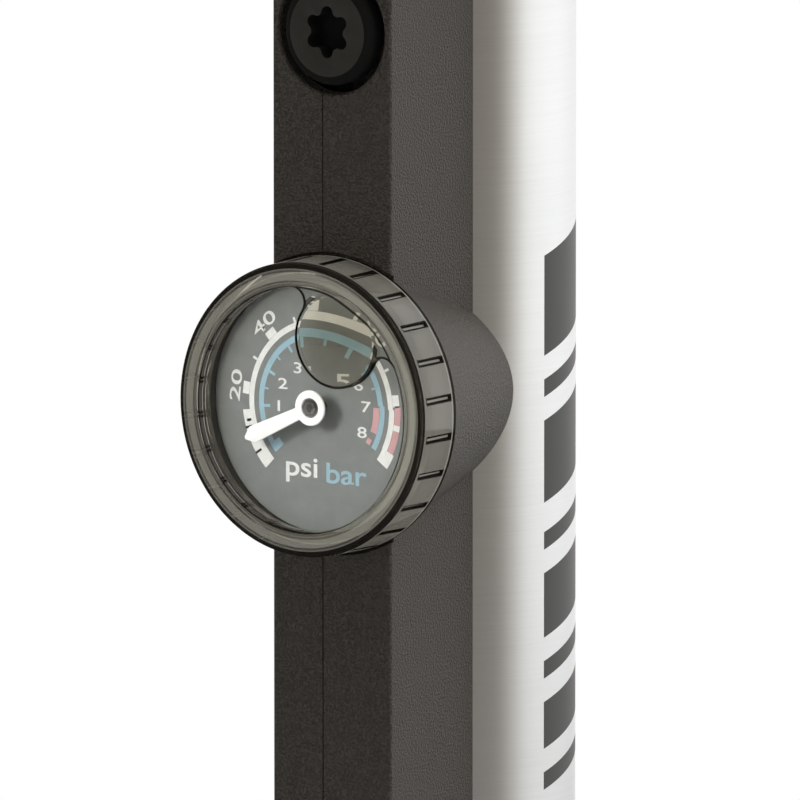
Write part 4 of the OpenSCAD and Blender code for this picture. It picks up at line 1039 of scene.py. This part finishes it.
class PUMP_OT_pointer(bpy.types.Operator):
    """White pointer with its hub and pin"""
    bl_idname = "pump.pointer"
    bl_label = "Pointer"

    def execute(self, context):
        hub, hole, root, tip, long, zero = 3.0, 1.65, 2.1, 2.9, 14.8, 205
        ring = turned([(hole, -0.5), (hub - 0.12, -0.5), (hub, -0.38), (hub, -0.12), (hub - 0.12, 0),
                       (hole + 0.12, 0), (hole, -0.12)], 64)
        side = [(hub - 0.5, -root / 2), (long * 0.87, -tip / 2), (long - 0.25, -0.25)]
        hand = slab(side + [(x, -y) for x, y in reversed(side)], 0.49, -0.495)
        round_edges(hand, 0.1, 2)
        settle(hand, rotated(zero))
        pin = turned([(0, 0.28), (0.75, 0.28), (1.0, 0.12), (1.05, -0.1), (hole, -0.2), (hole, -0.5),
                      (1.0, -0.6), (1.0, -2.4), (0, -2.4)], 6, closed=False)
        at = ON_GAUGE @ moved(0, 0, POINTER_FACE)
        hand = settle(combine(ring, hand, "UNION"), at)
        finished(hand, "pointer_hand", "white_enamel", "pointer", "pointer")
        finished(settle(pin, at), "pointer_pin", "steel", "pointer")
        return {"FINISHED"}


class PUMP_OT_grips(bpy.types.Operator):
    """Ribbed rubber grips"""
    bl_idname = "pump.grips"
    bl_label = "Grips"

    def execute(self, context):
        long = GRIP_OUT - GRIP_IN
        arm, r, flange, count, per_rib = 10.55, 14.5, 4.0, 9, 12
        pitch = (long - 3 * flange) / count
        section = [(arm, 0), (r - 0.9, 0), (r + 0.1, 0.4), (r + 0.5, 1.2), (r + 0.5, flange - 1),
                   (r + 0.2, flange - 0.4), (r - 0.7, flange + 0.2), (r - 1.3, flange + 1.2)]
        rows = count * per_rib
        for i in range(rows + 1):
            x = 2 * flange - 1 + (pitch * count + 1) * i / rows
            swell = 1.2 * math.sin(math.pi * x / long)
            wave = (i % per_rib) / per_rib
            dip = 0.9 * max(0.0, math.cos((wave - 0.5) * math.pi * 1.6)) ** 0.6
            section.append((r - 1.4 + swell - dip, x))
        section += [(r - 1.0, long - flange), (r - 0.5, long - 3), (r, long - 2), (r, long - 0.3),
                    (r - 0.3, long), (arm, long)]
        for side, name in ((-1, "left"), (1, "right")):
            place = moved(0, 0, HANDLE_Z) @ rotated(side * 90, "Y") @ moved(0, 0, GRIP_IN)
            grip = settle(turned(section, 80), place)
            finished(grip, "hand_grip_" + name, "grip_rubber", "plunger", "grip_" + name, smooth=60)
        return {"FINISHED"}


class PUMP_OT_spring(bpy.types.Operator):
    """Coil of the check valve"""
    bl_idname = "pump.spring"
    bl_label = "Valve spring"

    def execute(self, context):
        wire, turns, steps, travel = 0.35, 3, 22, 1.5
        foot, top = low("valve_spring").z, high("valve_spring").z
        radius = high("valve_spring").x - wire
        a, b = foot + wire, top - wire
        points = []
        for i in range(turns * steps + 1):
            turn = math.tau * i / steps
            height = a + (b - a) * i / (turns * steps)
            points.append((radius * math.cos(turn), radius * math.sin(turn), height))
        coil = path(points)
        bpy.ops.object.mode_set(mode="OBJECT")
        bpy.ops.object.convert(target="CURVE")
        coil.data.bevel_depth = wire * MM
        coil.data.bevel_resolution = 2
        coil.data.use_fill_caps = True
        bpy.ops.object.convert(target="MESH")
        finished(coil, "check_spring", "steel", "pump_body", "valve_spring")
        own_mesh(coil)
        return {"FINISHED"}


class PUMP_OT_dress(bpy.types.Operator):
    """Finishes for the CAD parts that stay as they are"""
    bl_idname = "pump.dress"
    bl_label = "Finishes of the other parts"

    def execute(self, context):
        for name, node in frame["nodes"].items():
            slot = OWN_LOOKS.get(name) or node.data.materials[0].name.split(".")[0]
            if slot not in FINISHES:
                raise RuntimeError("no finish for " + slot)
            node.data.materials[0] = FINISHES[slot]
        return {"FINISHED"}


class PUMP_PT_panel(bpy.types.Panel):
    """Sizes, colours and steps of the pump's dressing"""
    bl_idname = "PUMP_PT_panel"
    bl_label = "Pump"
    bl_space_type = "VIEW_3D"
    bl_region_type = "UI"
    bl_category = "Pump"

    def draw(self, context):
        for name, group in GROUPS:
            box = self.layout.box()
            held = getattr(context.scene, name)
            for key in group.__annotations__:
                box.prop(held, key)
        for step in STEPS:
            self.layout.operator(step.bl_idname)


STEPS = (PUMP_OT_stage, PUMP_OT_barrel, PUMP_OT_spine, PUMP_OT_bolts, PUMP_OT_dial, PUMP_OT_pointer,
         PUMP_OT_cover, PUMP_OT_grips, PUMP_OT_spring, PUMP_OT_dress)
GROUPS = (("pump_cover", PumpCoverSizes), ("pump_print", PumpPrintSizes), ("pump_colours", PumpColours))


def register():
    for name, group in GROUPS:
        bpy.utils.register_class(group)
        setattr(bpy.types.Scene, name, bpy.props.PointerProperty(type=group))
    for step in STEPS:
        bpy.utils.register_class(step)
    bpy.utils.register_class(PUMP_PT_panel)


def unregister():
    bpy.utils.unregister_class(PUMP_PT_panel)
    for step in reversed(STEPS):
        bpy.utils.unregister_class(step)
    for name, group in GROUPS:
        delattr(bpy.types.Scene, name)
        bpy.utils.unregister_class(group)


def main():
    register()
    make_finishes(bpy.context.scene)
    for step in STEPS:
        area, name = step.bl_idname.split(".")
        getattr(getattr(bpy.ops, area), name)()


if __name__ == "__main__":
    main()
